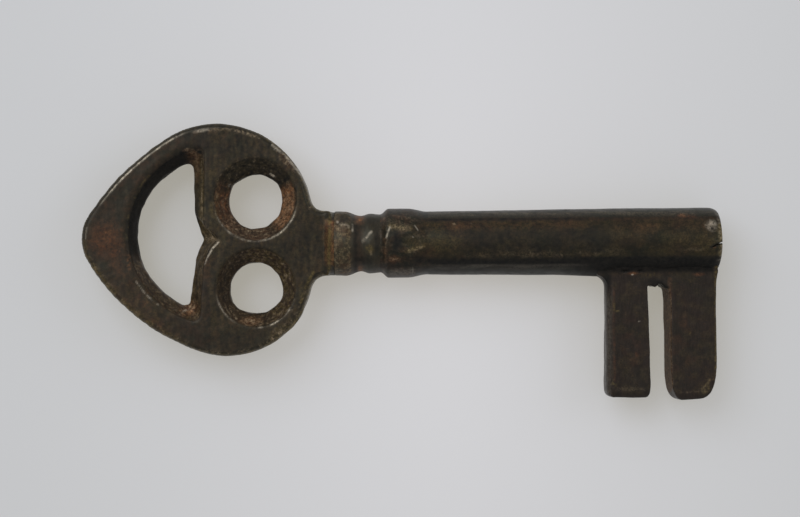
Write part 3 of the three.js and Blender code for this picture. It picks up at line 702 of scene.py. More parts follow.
bow_paint["rust"] += 0.3 * on_face * spot(bow_points, -16.4, -3.4, 1.2, 2.4) * (0.5 + 0.5 * patchy)
bow_paint["olive"] += 0.14 * streaked * broken(bow_points * (1.0, 0.2, 1.0), 0.42, 22)
lower_arm = spot(bow_points, -24.0, -8.0, 7.0, 3.4, -42) * on_face
bow_paint["rust"] += 0.14 * lower_arm * broken(bow_points, 1.3, 23) + 0.16 * on_face * broken(bow_points, 0.7, 24, 0.35)
bow_paint["olive"] += 0.14 * lower_arm * broken(bow_points, 0.8, 25)
bow_paint["dark"] += 0.22 * spot(bow_points, -19.5, -11.0, 3.4, 1.6, -25) * patchy

# The boss in front of the neck ring, rusty except at its sides
boss_side = np.clip((bow_points[:, 0] + 1.45) / 0.4, 0, 1) * np.clip((bow_points[:, 1] + 3.0) / 0.7, 0, 1)
boss_side *= np.clip((3.3 - bow_points[:, 1]) / 0.5, 0, 1)
bow_paint["rust"] += 0.75 * boss_side
bow_paint["warm"] += boss_side * (0.16 + 0.4 * grainy) * np.clip((bow_points[:, 0] + 1.1) / 0.8, 0.3, 1)
bow_paint["olive"] += 0.3 * boss_side * patchy

# The window: painted shade makes the left bevel black, where it faces away from the lamp; streaked brown on the right,
# with rough corroded corners, and broken bare metal painted brighter as highlights along the bevels' face edges
# Painted shade on the left bevel and along its face edge, which face away from the lamp
left_bevel = in_window * window_left
bow_paint["dark"] += 0.95 * left_bevel + 0.4 * window_left * np.clip(1 - window_gap / 0.45, 0, 1)
bow_paint["dark"] += 0.9 * spot(bow_points, -17.2, 11.9, 0.45, 0.3) + 0.8 * spot(bow_points, -19.6, 11.7, 0.35)
edge_ticks = sector(upright, (-17.5, 0.5), 125, 185) * broken(bow_points, 0.5, 9, 0.35)
bow_paint["olive"] += 0.8 * ridge(window_gap, 0.1, 0.12) * edge_ticks
right_bevel = in_window * (upright[:, 0] > WINDOW_SIDE - 0.3) * (bow_points[:, 1] < 11)
low_corner = spot(bow_points, -18.85, -8.2, 1.5, 1.35)
web_olive = 0.3 + 0.4 * ridge(upright[:, 0], WINDOW_SIDE + 0.25, 0.25)
web_olive *= np.clip((bow_points[:, 1] + 4) / 4, 0.35, 1) * (1 - low_corner)
bow_paint["olive"] += web_olive * right_bevel
bow_paint["dark"] += 0.2 * right_bevel * ridge(upright[:, 0], WINDOW_SIDE + 0.85, 0.28)
# A tan line along the right bevel's face edge, partly a painted highlight
ridge_line = stroke(bow_points, 0.16, (-17.0, 11.0), (-17.0, 4.0), (-16.4, 2.2), (-15.5, 0.7))
bow_paint["tan"] += 0.6 * ridge_line * (0.4 + 0.6 * grainy)
bow_paint["olive"] += 0.3 * spot(bow_points, -17.2, 6.5, 0.9, 5.5)
top_corner = spot(bow_points, -18.3, 11.2, 1.3, 1.2) * in_window
bow_paint["warm"] += 0.75 * right_bevel * spot(bow_points, -17.8, 9.6, 0.7, 2.4) + 0.6 * top_corner
bow_paint["tan"] += (0.3 * right_bevel * spot(bow_points, -17.8, 9.6, 0.6, 2.0) + 0.35 * top_corner) * grainy
low_bevel = in_window * sector(upright, (-17.5, 0.5), 198, 285)
bow_paint["dark"] += 0.02 * low_bevel
bow_paint["olive"] += 0.22 * low_bevel * grainy * (1 - low_corner)
bow_paint["rust"] += 0.18 * low_bevel + 0.2 * in_window
bow_paint["tan"] += 0.1 * low_bevel * grainy
bow_paint["warm"] += 0.5 * spot(bow_points, -26.4, -2.2, 0.4, 1.3) * grainy
bow_paint["warm"] += 0.9 * low_corner * (0.5 + 0.5 * grainy) + 0.5 * spot(bow_points, -18.7, 11.9, 1.0, 0.6)
bow_paint["tan"] += 0.7 * spot(bow_points, -19.0, -8.2, 1.1, 0.7, 20) * grainy
bow_paint["worn"] += 0.5 * spot(bow_points, -19.3, -8.45, 0.6, 0.22, 25) * flecks
bow_paint["tan"] += 0.6 * spot(bow_points, -18.6, 12.1, 0.8, 0.5) * grainy
# Broken bare metal along the lower bevel's face edge, painted brighter as a highlight
lower_line = stroke(bow_points, 0.11, (-25.5, -4.7), (-25.0, -5.4), (-24.4, -6.2), (-23.6, -6.95), (-22.7, -7.7))
bow_paint["worn"] += 0.35 * lower_line * broken(bow_points, 0.5, 10, 0.6)
bow_paint["tan"] += 0.85 * spot(bow_points, -15.75, 0.6, 1.3, 0.5, -12) * (0.4 + 0.6 * grainy)
# Bare metal along the notch's face edge, painted brighter as a highlight
notch_arc = stroke(bow_points, 0.13, (-14.9, 0.25), (-15.6, -0.45), (-16.2, -1.45), (-16.7, -2.6))
bow_paint["worn"] += 0.6 * notch_arc * np.clip((bow_points[:, 1] + 3.2) / 2.2, 0, 1)

# The upper hole: painted shade makes it black above, where its bevel faces away from the lamp; copper on the right, and
# a bright edge below, bare metal painted brighter as a highlight
# Painted shade on the upper bevel, which faces away from the lamp
bow_paint["dark"] += in_upper * sector(upright, UPPER_SINK, 30, 165) * (0.36 + 0.3 * grainy)
bow_paint["tan"] += 0.3 * ridge(upper_reach, UPPER_SINK_RADIUS, 0.12) * sector(upright, UPPER_SINK, 60, 200) * patchy
bow_paint["olive"] += 0.4 * in_upper * sector(upright, UPPER_SINK, 40, 165) * grainy
bow_paint["rust"] += 0.7 * in_upper * sector(upright, UPPER_SINK, 150, 300)
bow_paint["warm"] += 0.55 * in_upper * sector(upright, UPPER_SINK, 155, 235) * flecks
copper_ring = np.clip((5.3 - upper_reach) / 0.4, 0, 1) * in_upper
copper_ring *= sector(upright, UPPER_SINK, 308, 385)
bow_paint["warm"] += copper_ring * (0.7 + 0.3 * grainy)
bow_paint["tan"] += 0.22 * copper_ring * patchy
bow_paint["dark"] += 0.4 * in_upper * np.clip((upper_reach - 5.15) / 0.15, 0, 1) * sector(upright, UPPER_SINK, 300, 380)
bow_paint["tan"] += 0.6 * in_upper * sector(upright, UPPER_SINK, 215, 300) * (0.15 + 0.85 * flecks)
bow_paint["tan"] += 0.3 * in_upper * sector(upright, UPPER_SINK, 55, 165) * flecks
bow_paint["dark"] += 0.24 * in_upper * sector(upright, UPPER_SINK, 235, 290) * patchy
bow_paint["tan"] += 0.7 * stroke(bow_points, 0.12, (-11.2, 1.8), (-10.2, 1.65), (-9.1, 1.8))
bow_paint["worn"] += stroke(bow_points, 0.16, (-8.25, 9.05), (-7.75, 8.75)) + 0.3 * spot(bow_points, -13.5, 7.65, 0.3) * (1 - spot(bow_points, -13.45, 7.6, 0.2))
# Bare metal along the lower edge, painted brighter as the lamp's highlight
upper_edge = ridge(upper_reach, UPPER_SINK_RADIUS - 0.02, 0.1)
bow_paint["worn"] += 0.5 * upper_edge * sector(upright, UPPER_SINK, 295, 345) * (0.4 + 0.6 * grainy)
dotted = 0.3 + 0.7 * broken(bow_points, 0.5, 11, 0.45)
bow_paint["worn"] += 0.36 * upper_edge * sector(upright, UPPER_SINK, 205, 295) * dotted

# The lower hole: brown all round with paler flecks and painted shade on its upper left, a rough copper patch and a
# bright edge below, bare metal painted brighter as a highlight
# Painted shade on the upper left of the bevel
bow_paint["dark"] += 0.24 * in_lower * sector(upright, LOWER_SINK, 100, 215) + 0.04 * in_lower
bow_paint["rust"] += 0.3 * in_lower
bow_paint["olive"] += in_lower * (0.15 + 0.35 * sector(upright, LOWER_SINK, -60, 110)) * grainy
bow_paint["tan"] += 0.4 * in_lower * flecks * (0.5 + 0.5 * sector(upright, LOWER_SINK, -70, 120))
bow_paint["warm"] += 0.8 * in_lower * spot(bow_points, -10.9, -9.9, 1.9, 0.8, 5) * (0.5 + 0.5 * grainy)
bow_paint["tan"] += 0.65 * in_lower * spot(bow_points, -10.8, -9.9, 1.7, 0.7, 5) * grainy
low_streaks = stroke(bow_points, 0.14, (-14.1, -8.1), (-13.5, -9.1)) + stroke(bow_points, 0.14, (-13.6, -8.3), (-12.7, -9.6))
bow_paint["tan"] += 0.8 * low_streaks
# Bare metal along the lower edge, painted brighter as the lamp's highlight
bow_paint["worn"] += 0.3 * ridge(lower_reach, LOWER_SINK_RADIUS, 0.1) * sector(upright, LOWER_SINK, 198, 238) * patchy
lower_edge = ridge(lower_reach, LOWER_SINK_RADIUS - 0.02, 0.1)
bow_paint["worn"] += 0.5 * lower_edge * sector(upright, LOWER_SINK, 262, 340) * broken(bow_points, 0.6, 12, 0.5)

# Dirt and pale scale in flecks on all the filed walls
filed_walls = np.maximum(np.maximum(in_upper, in_lower), in_window * (1 - window_left))
bow_paint["dark"] += 0.4 * filed_walls * broken(bow_points, 0.5, 13, 0.28)
bow_paint["tan"] += 0.3 * filed_walls * broken(bow_points, 0.4, 14, 0.34)

paint(bow, **bow_paint)
bow_material = patina("bow_bronze", (42, 40, 31), (46, 41, 32), (2.4, 0.4, 1.0), specks=0.2)
set_down(bow, bow_material)
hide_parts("bow")

# Neck ring and bead
# Two turned bronze rings slid over the bow's tang: the first with a straight band that falls into a groove, the
# second a low bead. Both are worn out of round by handling.
RING_LENGTH = 3.4
BEAD_LENGTH = 2.5
TURNED_STEPS = 180
FILED_EDGE = 0.03  # how softly a filed flat ends


def hollow_turned(name, outer, bore):
    """A ring about the shank's line: the outer profile, as (x, radius) points, over a straight bore."""
    profile = [(outer[0][0], bore)] + outer + [(outer[-1][0], bore)]
    bm = bmesh.new()
    verts = [bm.verts.new((x, 0, radius)) for x, radius in profile]
    edges = [bm.edges.new((verts[i - 1], verts[i])) for i in range(len(verts))]
    bmesh.ops.spin(
        bm, geom=verts + edges, cent=(0, 0, 0), axis=(1, 0, 0), angle=2 * math.pi, steps=TURNED_STEPS, use_merge=True
    )
    bmesh.ops.remove_doubles(bm, verts=bm.verts, dist=0.001)
    return link_mesh(name, bm)


def wave(start, end, steps):
    """A half wave between two (x, radius) points, without the first."""
    points = []
    for i in range(1, steps + 1):
        t = i / steps
        rise = (1 - math.cos(math.pi * t)) / 2
        points.append((start[0] + (end[0] - start[0]) * t, start[1] + (end[1] - start[1]) * rise))
    return points


def straight(start, end, steps):
    return [
        (start[0] + (end[0] - start[0]) * i / steps, start[1] + (end[1] - start[1]) * i / steps)
        for i in range(1, steps + 1)
    ]


def file_flat(points, distance, turn, lean, reach):
    """Files down what stands beyond a plane at this reach from the shank's line. The plane faces up, turned toward
    the back and leaning toward the mouth by these degrees."""
    turned = math.radians(turn)
    leaned = math.radians(lean)
    level = math.cos(leaned)
    normal = np.array((math.sin(leaned), level * math.sin(turned), level * math.cos(turned)))
    beyond = (points - (distance, 0, 0)) @ normal - reach
    filed = (beyond + np.sqrt(beyond ** 2 + FILED_EDGE ** 2)) / 2
    return points - filed[:, None] * normal


def wear_turned(piece, stretch, size, seed, amount, flats):
    """Leaves a turned piece a little uneven outside, with the given flats filed on it."""
    points = mesh_points(piece)[0]
    radius = np.linalg.norm(points[:, 1:], axis=1)
    outside = np.clip((radius - 3.5) / 0.1, 0, 1)
    depth = amount * cloud(points * (stretch, 1, 1), size, seed) + 0.3 * amount * cloud(points, 0.8, seed + 1)
    points[:, 1:] *= (1 + depth * outside / np.maximum(radius, 1))[:, None]
    for flat in flats:
        points = np.where(outside[:, None] > 0.5, file_flat(points, *flat), points)
    move_points(piece, points)
    return mesh_points(piece)[0]


ring_profile = (
    [(0.0, 4.08), (0.05, 4.12), (0.15, 4.15)]
    + straight((0.15, 4.15), (1.3, 4.16), 12)
    + wave((1.3, 4.16), (RING_LENGTH, 3.62), 22)
)
neck_ring = hollow_turned("neck_ring_turned", ring_profile, 2.6)
ring_points = wear_turned(
    neck_ring, 1.0, 2.4, 11, 0.045, ((1.0, 17, -5, 4.02), (1.1, -24, 0, 4.06), (1.1, 54, 2, 4.04))
)
bead_profile = (
    [(RING_LENGTH, 3.62)]
    + wave((RING_LENGTH, 3.62), (RING_LENGTH + 1.2, 3.9), 14)
    + wave((RING_LENGTH + 1.2, 3.9), (RING_LENGTH + BEAD_LENGTH, 3.78), 14)
)
neck_bead = hollow_turned("neck_bead_turned", bead_profile, 2.6)
bead_points = wear_turned(
    neck_bead, 1.0, 2.4, 11, 0.045, ((4.4, 15, -7, 3.75), (4.6, -20, 6, 3.77), (5.4, 4, 9, 3.72))
)
for piece, points in ((neck_ring, ring_points), (neck_bead, bead_points)):
    along = points[:, 0]
    across = points[:, 1]
    specks = broken(points, 0.42, 17)
    blotches = broken(points, 1.0, 18)
    in_groove = ridge(along, 3.25, 0.5)
    on_band = np.clip((2.3 - along) / 0.3, 0, 1)
    # The bright marks on the ring's band and the bead's crest are mostly bare metal painted brighter as highlights
    paint(
        piece,
        rust=0.35 * on_band * blotches + 0.24 * in_groove,
        warm=0.85 * in_groove * np.clip((across - 2.3) / 0.6, 0, 1) * (0.4 + 0.6 * specks)
        + 0.5 * ridge(along, 3.3, 0.35) * np.clip((-across - 2.6) / 0.6, 0, 1),
        olive=0.28 * on_band * (0.3 + 0.7 * specks)
        + 0.85 * spot(points, 4.55, -0.75, 0.75, 0.75) * (0.4 + 0.6 * specks),
        tan=0.2 * on_band * specks
        + 0.7 * spot(points, 0.95, 2.1, 0.75, 0.8) * (0.2 + 0.8 * specks)
        + 0.34 * stroke(points, 0.14, (0.25, 0.9), (0.25, -2.4)) * (0.3 + 0.7 * blotches)
        + 0.35 * spot(points, 4.75, -1.2, 0.25, 0.5),
        dark=0.65 * spot(points, 1.35, 3.2, 1.1, 0.8)
        + 0.6 * ridge(along, 2.75, 0.3) * (across < 2.4) * (points[:, 2] > 0)
        + 0.28 * in_groove * (np.abs(across) < 2.3)
        + 0.35 * spot(points, 4.75, 2.9, 1.0, 0.6)
        + 0.6 * spot(points, 5.5, 0.2, 0.4, 2.6)
        + 0.5 * spot(points, 4.0, -2.2, 1.4, 0.9),
        worn=0.4 * spot(points, 0.45, 2.75, 0.22, 0.22)
        + 0.24 * spot(points, 1.3, 2.3, 1.0, 0.42, -12) * (0.2 + 0.8 * specks)
        + 0.5 * stroke(points, 0.18, (2.37, 2.4), (2.4, 1.6)) * (0.3 + 0.7 * specks)
        + 0.12 * stroke(points, 0.3, (3.6, 0.2), (4.3, 0.8)) * specks
        + 0.3 * stroke(points, 0.22, (4.2, 0.8), (4.8, 1.5)) * (0.5 + 0.5 * specks),
    )
neck_material = patina("neck_bronze", (50, 48, 38), (55, 47, 36), (3.0, 1.0, 1.0), gloss=0.42, grain=0.3)
for piece, node in ((neck_ring, "neck_ring"), (neck_bead, "neck_bead")):
    set_down(piece, neck_material, crease=40)
    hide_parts(node)

# Collar
# A turned ferrule that closes over the shank's end: it swells out of the waist behind the bead to a full round
# and tapers into the shank. Its top has been filed into small flats.
COLLAR_START = RING_LENGTH + BEAD_LENGTH
COLLAR_END = COLLAR_START + 6.2
SHANK_OLIVE = (31, 32, 23)
SHANK_BROWN = (37, 33, 24)
collar_profile = (
    [(COLLAR_START, 3.78)]
    + wave((COLLAR_START, 3.78), (COLLAR_START + 1.1, 4.49), 14)
    + straight((COLLAR_START + 1.1, 4.49), (COLLAR_START + 3.5, 4.49), 20)
    + wave((COLLAR_START + 3.5, 4.49), (COLLAR_END, 4.08), 24)
)
collar = hollow_turned("collar_turned", collar_profile, 3.65)
collar_flats = ((10.2, 1, 3.5, 4.22), (8.0, -5, -1.5, 4.4), (8.6, 23, -1.5, 4.42), (6.6, 19, -35, 3.5))
collar_points = wear_turned(collar, 0.4, 2.6, 31, 0.03, collar_flats)
collar_x = collar_points[:, 0]
collar_specks = broken(collar_points, 0.42, 26)
collar_patchy = broken(collar_points, 0.9, 27)


def pipe_finish_and_painted_light(points):
    """The finish that the collar's end and the shank share, most of it painted light in bands along the pipe: a browner
    painted sheen behind, a thin painted dark line beyond it, painted shade along the crown, low in front and over the
    bit, and soft patches of rust, olive and dirt.
    """
    x = points[:, 0]
    y = points[:, 1]
    top = points[:, 2] > 0
    crown = np.clip((3.2 - np.abs(y)) / 0.3, 0, 1) * top
    over_bit = np.clip((x - 29.0) / 4.5, 0, 1)
    wide = broken(points * (0.4, 1, 1), 1.6, 36)
    # Behind: a browner painted sheen along the back. Front: where the shank takes a grey painted sheen low in front.
    behind = ridge(y, 2.1, 0.75) * top * np.clip((x - COLLAR_END) / 3.0, 0.3, 1)
    front = np.clip((-2.74 - y) / 0.12, 0, 1) * np.clip((y + 3.6) / 0.5, 0, 1) * top
    front *= np.clip((x - COLLAR_END + 1.0) / 2.5, 0, 1)
    # A thin painted dark reflection along the back, beyond the sheen
    black_line = np.clip((3.18 - y) / 0.1, 0, 1) * np.clip((y - 2.6) / 0.3, 0, 1) * top
    # Painted dark reflection along the crown
    middle = np.clip((x - 13.0) / 5.0, 0, 1) * np.clip((38.0 - x) / 4.0, 0, 1)
    middle *= np.clip(2 * ridge(y, 0.1, 1.4), 0, 1) * top
    rust = 0.42 * behind * (0.4 + 0.6 * wide) * (1 - 0.4 * over_bit) + 0.12 * crown * broken(points, 2.0, 42)
    rust += 0.34 * black_line + 0.14 * crown * broken(points, 0.6, 37, 0.35) * (1 - 0.6 * over_bit)
    olive = crown * (0.14 * ridge(y, 0.0, 1.6) * wide + 0.1 * broken(points, 2.3, 43))
    olive += 0.1 * crown * broken(points, 0.6, 38, 0.4) * (1 - 0.6 * over_bit) + 0.08 * middle
    dark = 0.75 * black_line * (1 - 0.5 * over_bit) + 0.24 * top * broken(points, 0.9, 39, 0.35)
    # Painted shade low in front and over the bit
    dark += 0.8 * ridge(y, -2.35, 0.5) * top * (1 - front) * (1 - over_bit)
    dark += 0.8 * over_bit * np.clip((-1.8 - y) / 0.25, 0, 1) * top
    dark += 0.85 * ridge(y, -2.93, 0.42) * np.clip((x - COLLAR_END) / 2.0, 0, 1) * top
    dark += 0.62 * middle
    return rust, olive, dark, behind, front, over_bit


near_bow = np.clip((COLLAR_END - 0.3 - collar_x) / 2.0, 0, 1)
end_rust, end_olive, end_dark = pipe_finish_and_painted_light(collar_points)[:3]
lozenge = spot(collar_points, 10.2, 0.0, 1.3, 1.5)
lozenge_edge = lozenge * np.clip(1 - spot(collar_points, 10.2, 0.0, 0.95, 1.1) * 1.6, 0, 1)
# Painted light on the collar: a dark painted reflection across its crown, a tan and olive painted highlight along its
# back, painted shade low in front near the bow, and bare metal painted brighter as highlights on its edges. Its end
# takes the shank's painted bands.
paint(
    collar,
    rust=0.5 * spot(collar_points, 7.6, -2.1, 1.3, 0.7) + 0.3 * spot(collar_points, 8.4, 3.4, 1.6, 0.6)
    + 0.22 * collar_patchy * near_bow
    + 0.06 * ridge(collar_x, 6.1, 0.25)
    + end_rust * (1 - near_bow),
    warm=0.26 * stroke(collar_points, 0.26, (6.6, 0.5), (6.6, -2.3)) * (0.2 + 0.8 * collar_specks)
    + 0.3 * spot(collar_points, 7.7, -2.1, 1.1, 0.45) * collar_specks
    + 0.2 * spot(collar_points, 6.3, 3.0, 0.6, 0.5),
    olive=0.8 * stroke(collar_points, 0.3, (9.2, -1.15), (11.5, -0.4)) * (0.3 + 0.7 * collar_specks)
    + 0.2 * spot(collar_points, 10.2, 0.0, 1.6, 1.6)
    + 0.45 * stroke(collar_points, 0.5, (7.3, 2.2), (8.4, 2.0), (9.7, 1.85))
    + end_olive * (1 - near_bow),
    tan=0.26 * stroke(collar_points, 0.45, (7.4, 2.2), (8.4, 2.0), (9.6, 1.85)) * (0.55 + 0.45 * collar_patchy)
    + 0.5 * stroke(collar_points, 0.2, (9.25, -1.2), (11.5, -0.45)) * collar_specks
    + 0.4 * spot(collar_points, 7.7, -2.1, 0.9, 0.3) * collar_specks
    + 0.12 * lozenge_edge * collar_patchy
    + 0.2 * spot(collar_points, 11.7, 0.9, 0.5, 0.9) * collar_specks
    + 0.15 * stroke(collar_points, 0.16, (6.6, 0.3), (6.6, -2.6))
    + 0.16 * ridge(collar_points[:, 1], 2.8, 1.0) * near_bow * collar_specks
    + 0.08 * near_bow * broken(collar_points, 0.4, 29, 0.34),
    dark=0.85 * spot(collar_points, 8.0, 0.1, 0.8, 2.0)
    + 0.45 * ridge(collar_points[:, 1], -2.8, 0.5) * near_bow * (collar_points[:, 2] > 0)
    + 0.25 * spot(collar_points, 10.4, -2.0, 1.4, 0.6)
    + 0.28 * near_bow * broken(collar_points, 0.5, 28, 0.3)
    + end_dark * (1 - near_bow),
    worn=0.1 * stroke(collar_points, 0.6, (7.4, -3.7), (9.9, -3.7)) * (0.4 + 0.6 * collar_specks)
    + 0.5 * stroke(collar_points, 0.14, (6.68, 0.7), (7.2, 2.1)) * (0.5 + 0.5 * collar_specks)
    + 0.15 * stroke(collar_points, 0.08, (10.1, -3.2), (10.1, -4.0))
    + 0.07 * lozenge_edge * collar_specks
    + 0.35 * stroke(collar_points, 0.1, (10.35, 2.25), (10.75, 1.65))
    + 0.35 * spot(collar_points, 10.1, 0.75, 0.14),
)
collar_material = patina("collar_bronze", SHANK_OLIVE, SHANK_BROWN, (0.5, 2.5, 2.5), 0.34, 0.2, 0.22)
set_down(collar, collar_material, crease=40)
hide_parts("collar")

# Shank
# A bronze pipe, slightly thicker toward the bit, bored from the mouth for the lock's pin. Its mouth is worn
# round and cracked, and long handling has left it smoother than the cast pieces.
MOUTH = 49.75
SHANK_RADIUS = 4.33
BORE_RADIUS = 3.2
BORE_DEPTH = 34
MOUTH_ROUNDING = 0.65
MOUTH_ROUNDING_LENGTH = 1.5
shank_bm = bmesh.new()
shank_profile = (
    [(COLLAR_END - 2.0, 0.0), (COLLAR_END - 2.0, 3.45), (COLLAR_END, 3.45), (COLLAR_END, 4.08)]
    + straight((COLLAR_END, 4.08), (35.0, SHANK_RADIUS), 130)
    + straight((35.0, SHANK_RADIUS), (MOUTH - MOUTH_ROUNDING_LENGTH, SHANK_RADIUS), 78)
)
for step in range(1, 13):
    fall = math.pi / 2 * step / 12
    shank_profile.append((
        MOUTH - MOUTH_ROUNDING_LENGTH * (1 - math.sin(fall)),
        SHANK_RADIUS - MOUTH_ROUNDING * (1 - math.cos(fall)),
    ))
shank_profile += [(MOUTH, 3.32), (MOUTH - 0.12, BORE_RADIUS)]
shank_profile += straight((MOUTH - 0.12, BORE_RADIUS), (MOUTH - BORE_DEPTH, BORE_RADIUS), 60)
shank_profile += [(MOUTH - BORE_DEPTH, 0.0)]
shank_verts = [shank_bm.verts.new((x, 0, radius)) for x, radius in shank_profile]
shank_edges = [shank_bm.edges.new(pair) for pair in zip(shank_verts, shank_verts[1:])]
bmesh.ops.spin(
    shank_bm,
    geom=shank_verts + shank_edges,
    cent=(0, 0, 0),
    axis=(1, 0, 0),
    angle=2 * math.pi,
    steps=TURNED_STEPS,
    use_merge=True,
)
bmesh.ops.remove_doubles(shank_bm, verts=shank_bm.verts, dist=0.0005)
shank = link_mesh("shank_pipe", shank_bm)


def cut_crack(path, bottom):
    """Cuts along a closed path at the mouth from above, down to the given height over the shank's line."""
    bm = bmesh.new()
    cap(bm, edge_loop(bm, path, bottom))
    grown = bmesh.ops.extrude_face_region(bm, geom=bm.faces[:])
    top = [item for item in grown["geom"] if isinstance(item, bmesh.types.BMVert)]
    bmesh.ops.translate(bm, verts=top, vec=(0, 0, SHANK_RADIUS))
    bmesh.ops.translate(bm, verts=bm.verts, vec=(MOUTH, -0.35, 0))
    cut(shank, link_mesh("crack_cutter", bm))


# The crack is a dark groove that only goes through at the lip.
cut_crack(
    ((-1.7, -0.5), (-1.2, -0.44), (-0.8, -0.2), (-0.4, -0.16), (0.5, 0.05), (0.5, 0.4), (-0.5, 0.06), (-0.9, -0.02), (-1.2, -0.3)),
    3.5,
)
cut_crack(((-0.42, 0.0), (0.5, 0.1), (0.5, 0.36), (-0.2, 0.14)), BORE_RADIUS / 2)
shank_points = wear_turned(shank, 0.4, 2.6, 31, 0.03, ((48.6, 23, 12, 3.9),))
shank_x = shank_points[:, 0]
shank_y = shank_points[:, 1]
pit = spot(shank_points, 48.45, 1.6, 0.3) * (shank_points[:, 2] > 3.4)
shank_points[:, 2] -= 0.08 * pit + 0.05 * spot(shank_points, 46.1, -0.9, 0.4) * (shank_points[:, 2] > 3.4)
from_crown = shank_y + 0.65
mouth_wear = np.where(from_crown > 0, 0.1 * (from_crown / 3.9) ** 2, 0.2 * (from_crown / 2.8) ** 2)
shank_points[:, 0] -= mouth_wear * np.clip((shank_x - 46.8) / (MOUTH - 46.8), 0, 1) ** 2

# In front the pipe swells a little where it nears the bit.
swelling = np.clip((shank_x - 28.5) / 5.5, 0, 1) * np.clip((36.0 - shank_x) / 1.6, 0, 1)
shank_points[:, 1] -= 0.17 * swelling * np.clip(-shank_y / SHANK_RADIUS, 0, 1) ** 2
move_points(shank, shank_points)
shank_x = shank_points[:, 0]
shank_top = shank_points[:, 2] > 0
inside_bore = (np.linalg.norm(shank_points[:, 1:], axis=1) < 3.3) * (shank_x < MOUTH - 0.3)
shank_specks = broken(shank_points, 0.36, 33)
long_marks = broken(shank_points * (0.15, 1, 1), 0.5, 34)
scratches = np.zeros(len(shank_points))
for x, y in ((22.2, -1.1), (25.1, -1.3), (26.1, -1.8), (27.6, -1.0), (29.2, -1.8), (31.5, -1.4), (33.4, -1.6)):
    scratches = np.maximum(scratches, stroke(shank_points, 0.1, (x - 0.08, y + 0.22), (x + 0.06, y - 0.2)))
shank_rust, shank_olive, shank_dark, brown_side, lower_side, over_bit = pipe_finish_and_painted_light(shank_points)
lip = np.clip((shank_x + mouth_wear - (MOUTH - 0.7)) / 0.4, 0, 1)
# Painted light on the shank besides the shared bands: a tan painted highlight along the top edge, a grey painted sheen
# low in front laid as bare metal, and painted shade at the lower edge and inside the bore
paint(
    shank,
    rust=shank_rust
    + 0.22 * spot(shank_points, 40.4, 1.6, 1.6, 1.0)
    + 0.8 * stroke(shank_points, 0.36, (44.3, 3.3), (46.4, 3.15)) * (0.4 + 0.6 * shank_specks)
    + 0.45 * spot(shank_points, 46.2, -0.9, 0.45) * shank_specks,
    warm=0.13 * brown_side * shank_specks * (1 - over_bit)
    + 0.5 * spot(shank_points, 44.7, 3.3, 0.5, 0.3)
    + 0.25 * spot(shank_points, 48.6, -0.8, 0.4, 0.2),
    olive=shank_olive
    + 0.85 * lip * (shank_y < 2.2) * (0.6 + 0.4 * shank_specks)
    + 0.14 * spot(shank_points, 43.5, 0.6, 2.6, 1.0)
    + 0.15 * spot(shank_points, 15.0, 0.5, 3.0, 1.5) * shank_specks,
    tan=0.2 * ridge(shank_y, 3.7, 0.4) * shank_top * (0.4 + 0.6 * long_marks)
    + 0.35 * scratches
    + 0.1 * stroke(shank_points, 0.8, (21.0, -1.3), (33.0, -1.4)) * shank_specks
    + 0.14 * stroke(shank_points, 0.5, (17.0, -1.65), (29.0, -1.7)) * (0.4 + 0.6 * shank_specks)
    + 0.14 * stroke(shank_points, 0.6, (33.4, -1.3), (36.6, -1.4)) * long_marks
    + 0.16 * stroke(shank_points, 0.5, (44.4, -1.1), (46.8, -1.05)) * long_marks
    + 0.5 * spot(shank_points, 15.45, 2.4, 0.3, 0.2) * (0.4 + 0.6 * shank_specks)
    + 0.35 * spot(shank_points, 17.6, 2.45, 0.35, 0.12)
    + 0.35 * spot(shank_points, 48.0, 2.2, 0.8, 0.6) * shank_specks,
    dark=shank_dark
    + 0.3 * ridge(shank_y, -4.1, 0.25) * (1 - over_bit)
    + 0.9 * pit
    + 0.8 * stroke(shank_points, 0.24, (48.15, -0.8), (48.9, -0.55), (49.7, -0.2))
    + 0.8 * inside_bore,
    worn=0.42 * spot(shank_points, 48.4, 1.95, 1.0, 0.9) * (0.4 + 0.6 * shank_specks) * (1 - pit)
    + 0.08 * lower_side * (1 - over_bit) * (0.4 + 0.6 * long_marks)
    + 0.15 * lip * shank_specks,
)
shank_material = patina("shank_bronze", SHANK_OLIVE, SHANK_BROWN, (0.5, 2.5, 2.5), 0.34, 0.2, 0.22)
set_down(shank, shank_material, crease=40)
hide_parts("shank")

# Bit
# A flat cast plate with two prongs and one ward slot filed between them, brazed along the underside of the
# shank. The right prong's outer corner is worn round.
BIT_RIGHT = MOUTH - 0.6
BIT_LEFT = BIT_RIGHT - 14.1
BIT_HALF_THICKNESS = 2.2
SLOT_LEFT = BIT_LEFT + 5.2
SLOT_WIDTH = 2.65  # at the back
SLOT_LEAN = 0.38  # what its right wall gains toward the front
SLOT_RIGHT = SLOT_LEFT + SLOT_WIDTH
LEFT_END = -20.16
RIGHT_END = -20.45
ROOT_TOP = -3.1  # the plate's root runs up into the shank's wall, out of sight
ROOT_FILLET = 1.6
LEFT_ROUNDING = 1.3
BIT_SKIN = 0.14


def curve(start, control, end, steps):
    """A bend from start to end that is drawn toward a control point, without its first point."""
    points = []
    for i in range(1, steps + 1):
        t = i / steps
        points.append((
            (1 - t) ** 2 * start[0] + 2 * t * (1 - t) * control[0] + t * t * end[0],
            (1 - t) ** 2 * start[1] + 2 * t * (1 - t) * control[1] + t * t * end[1],
        ))
    return points


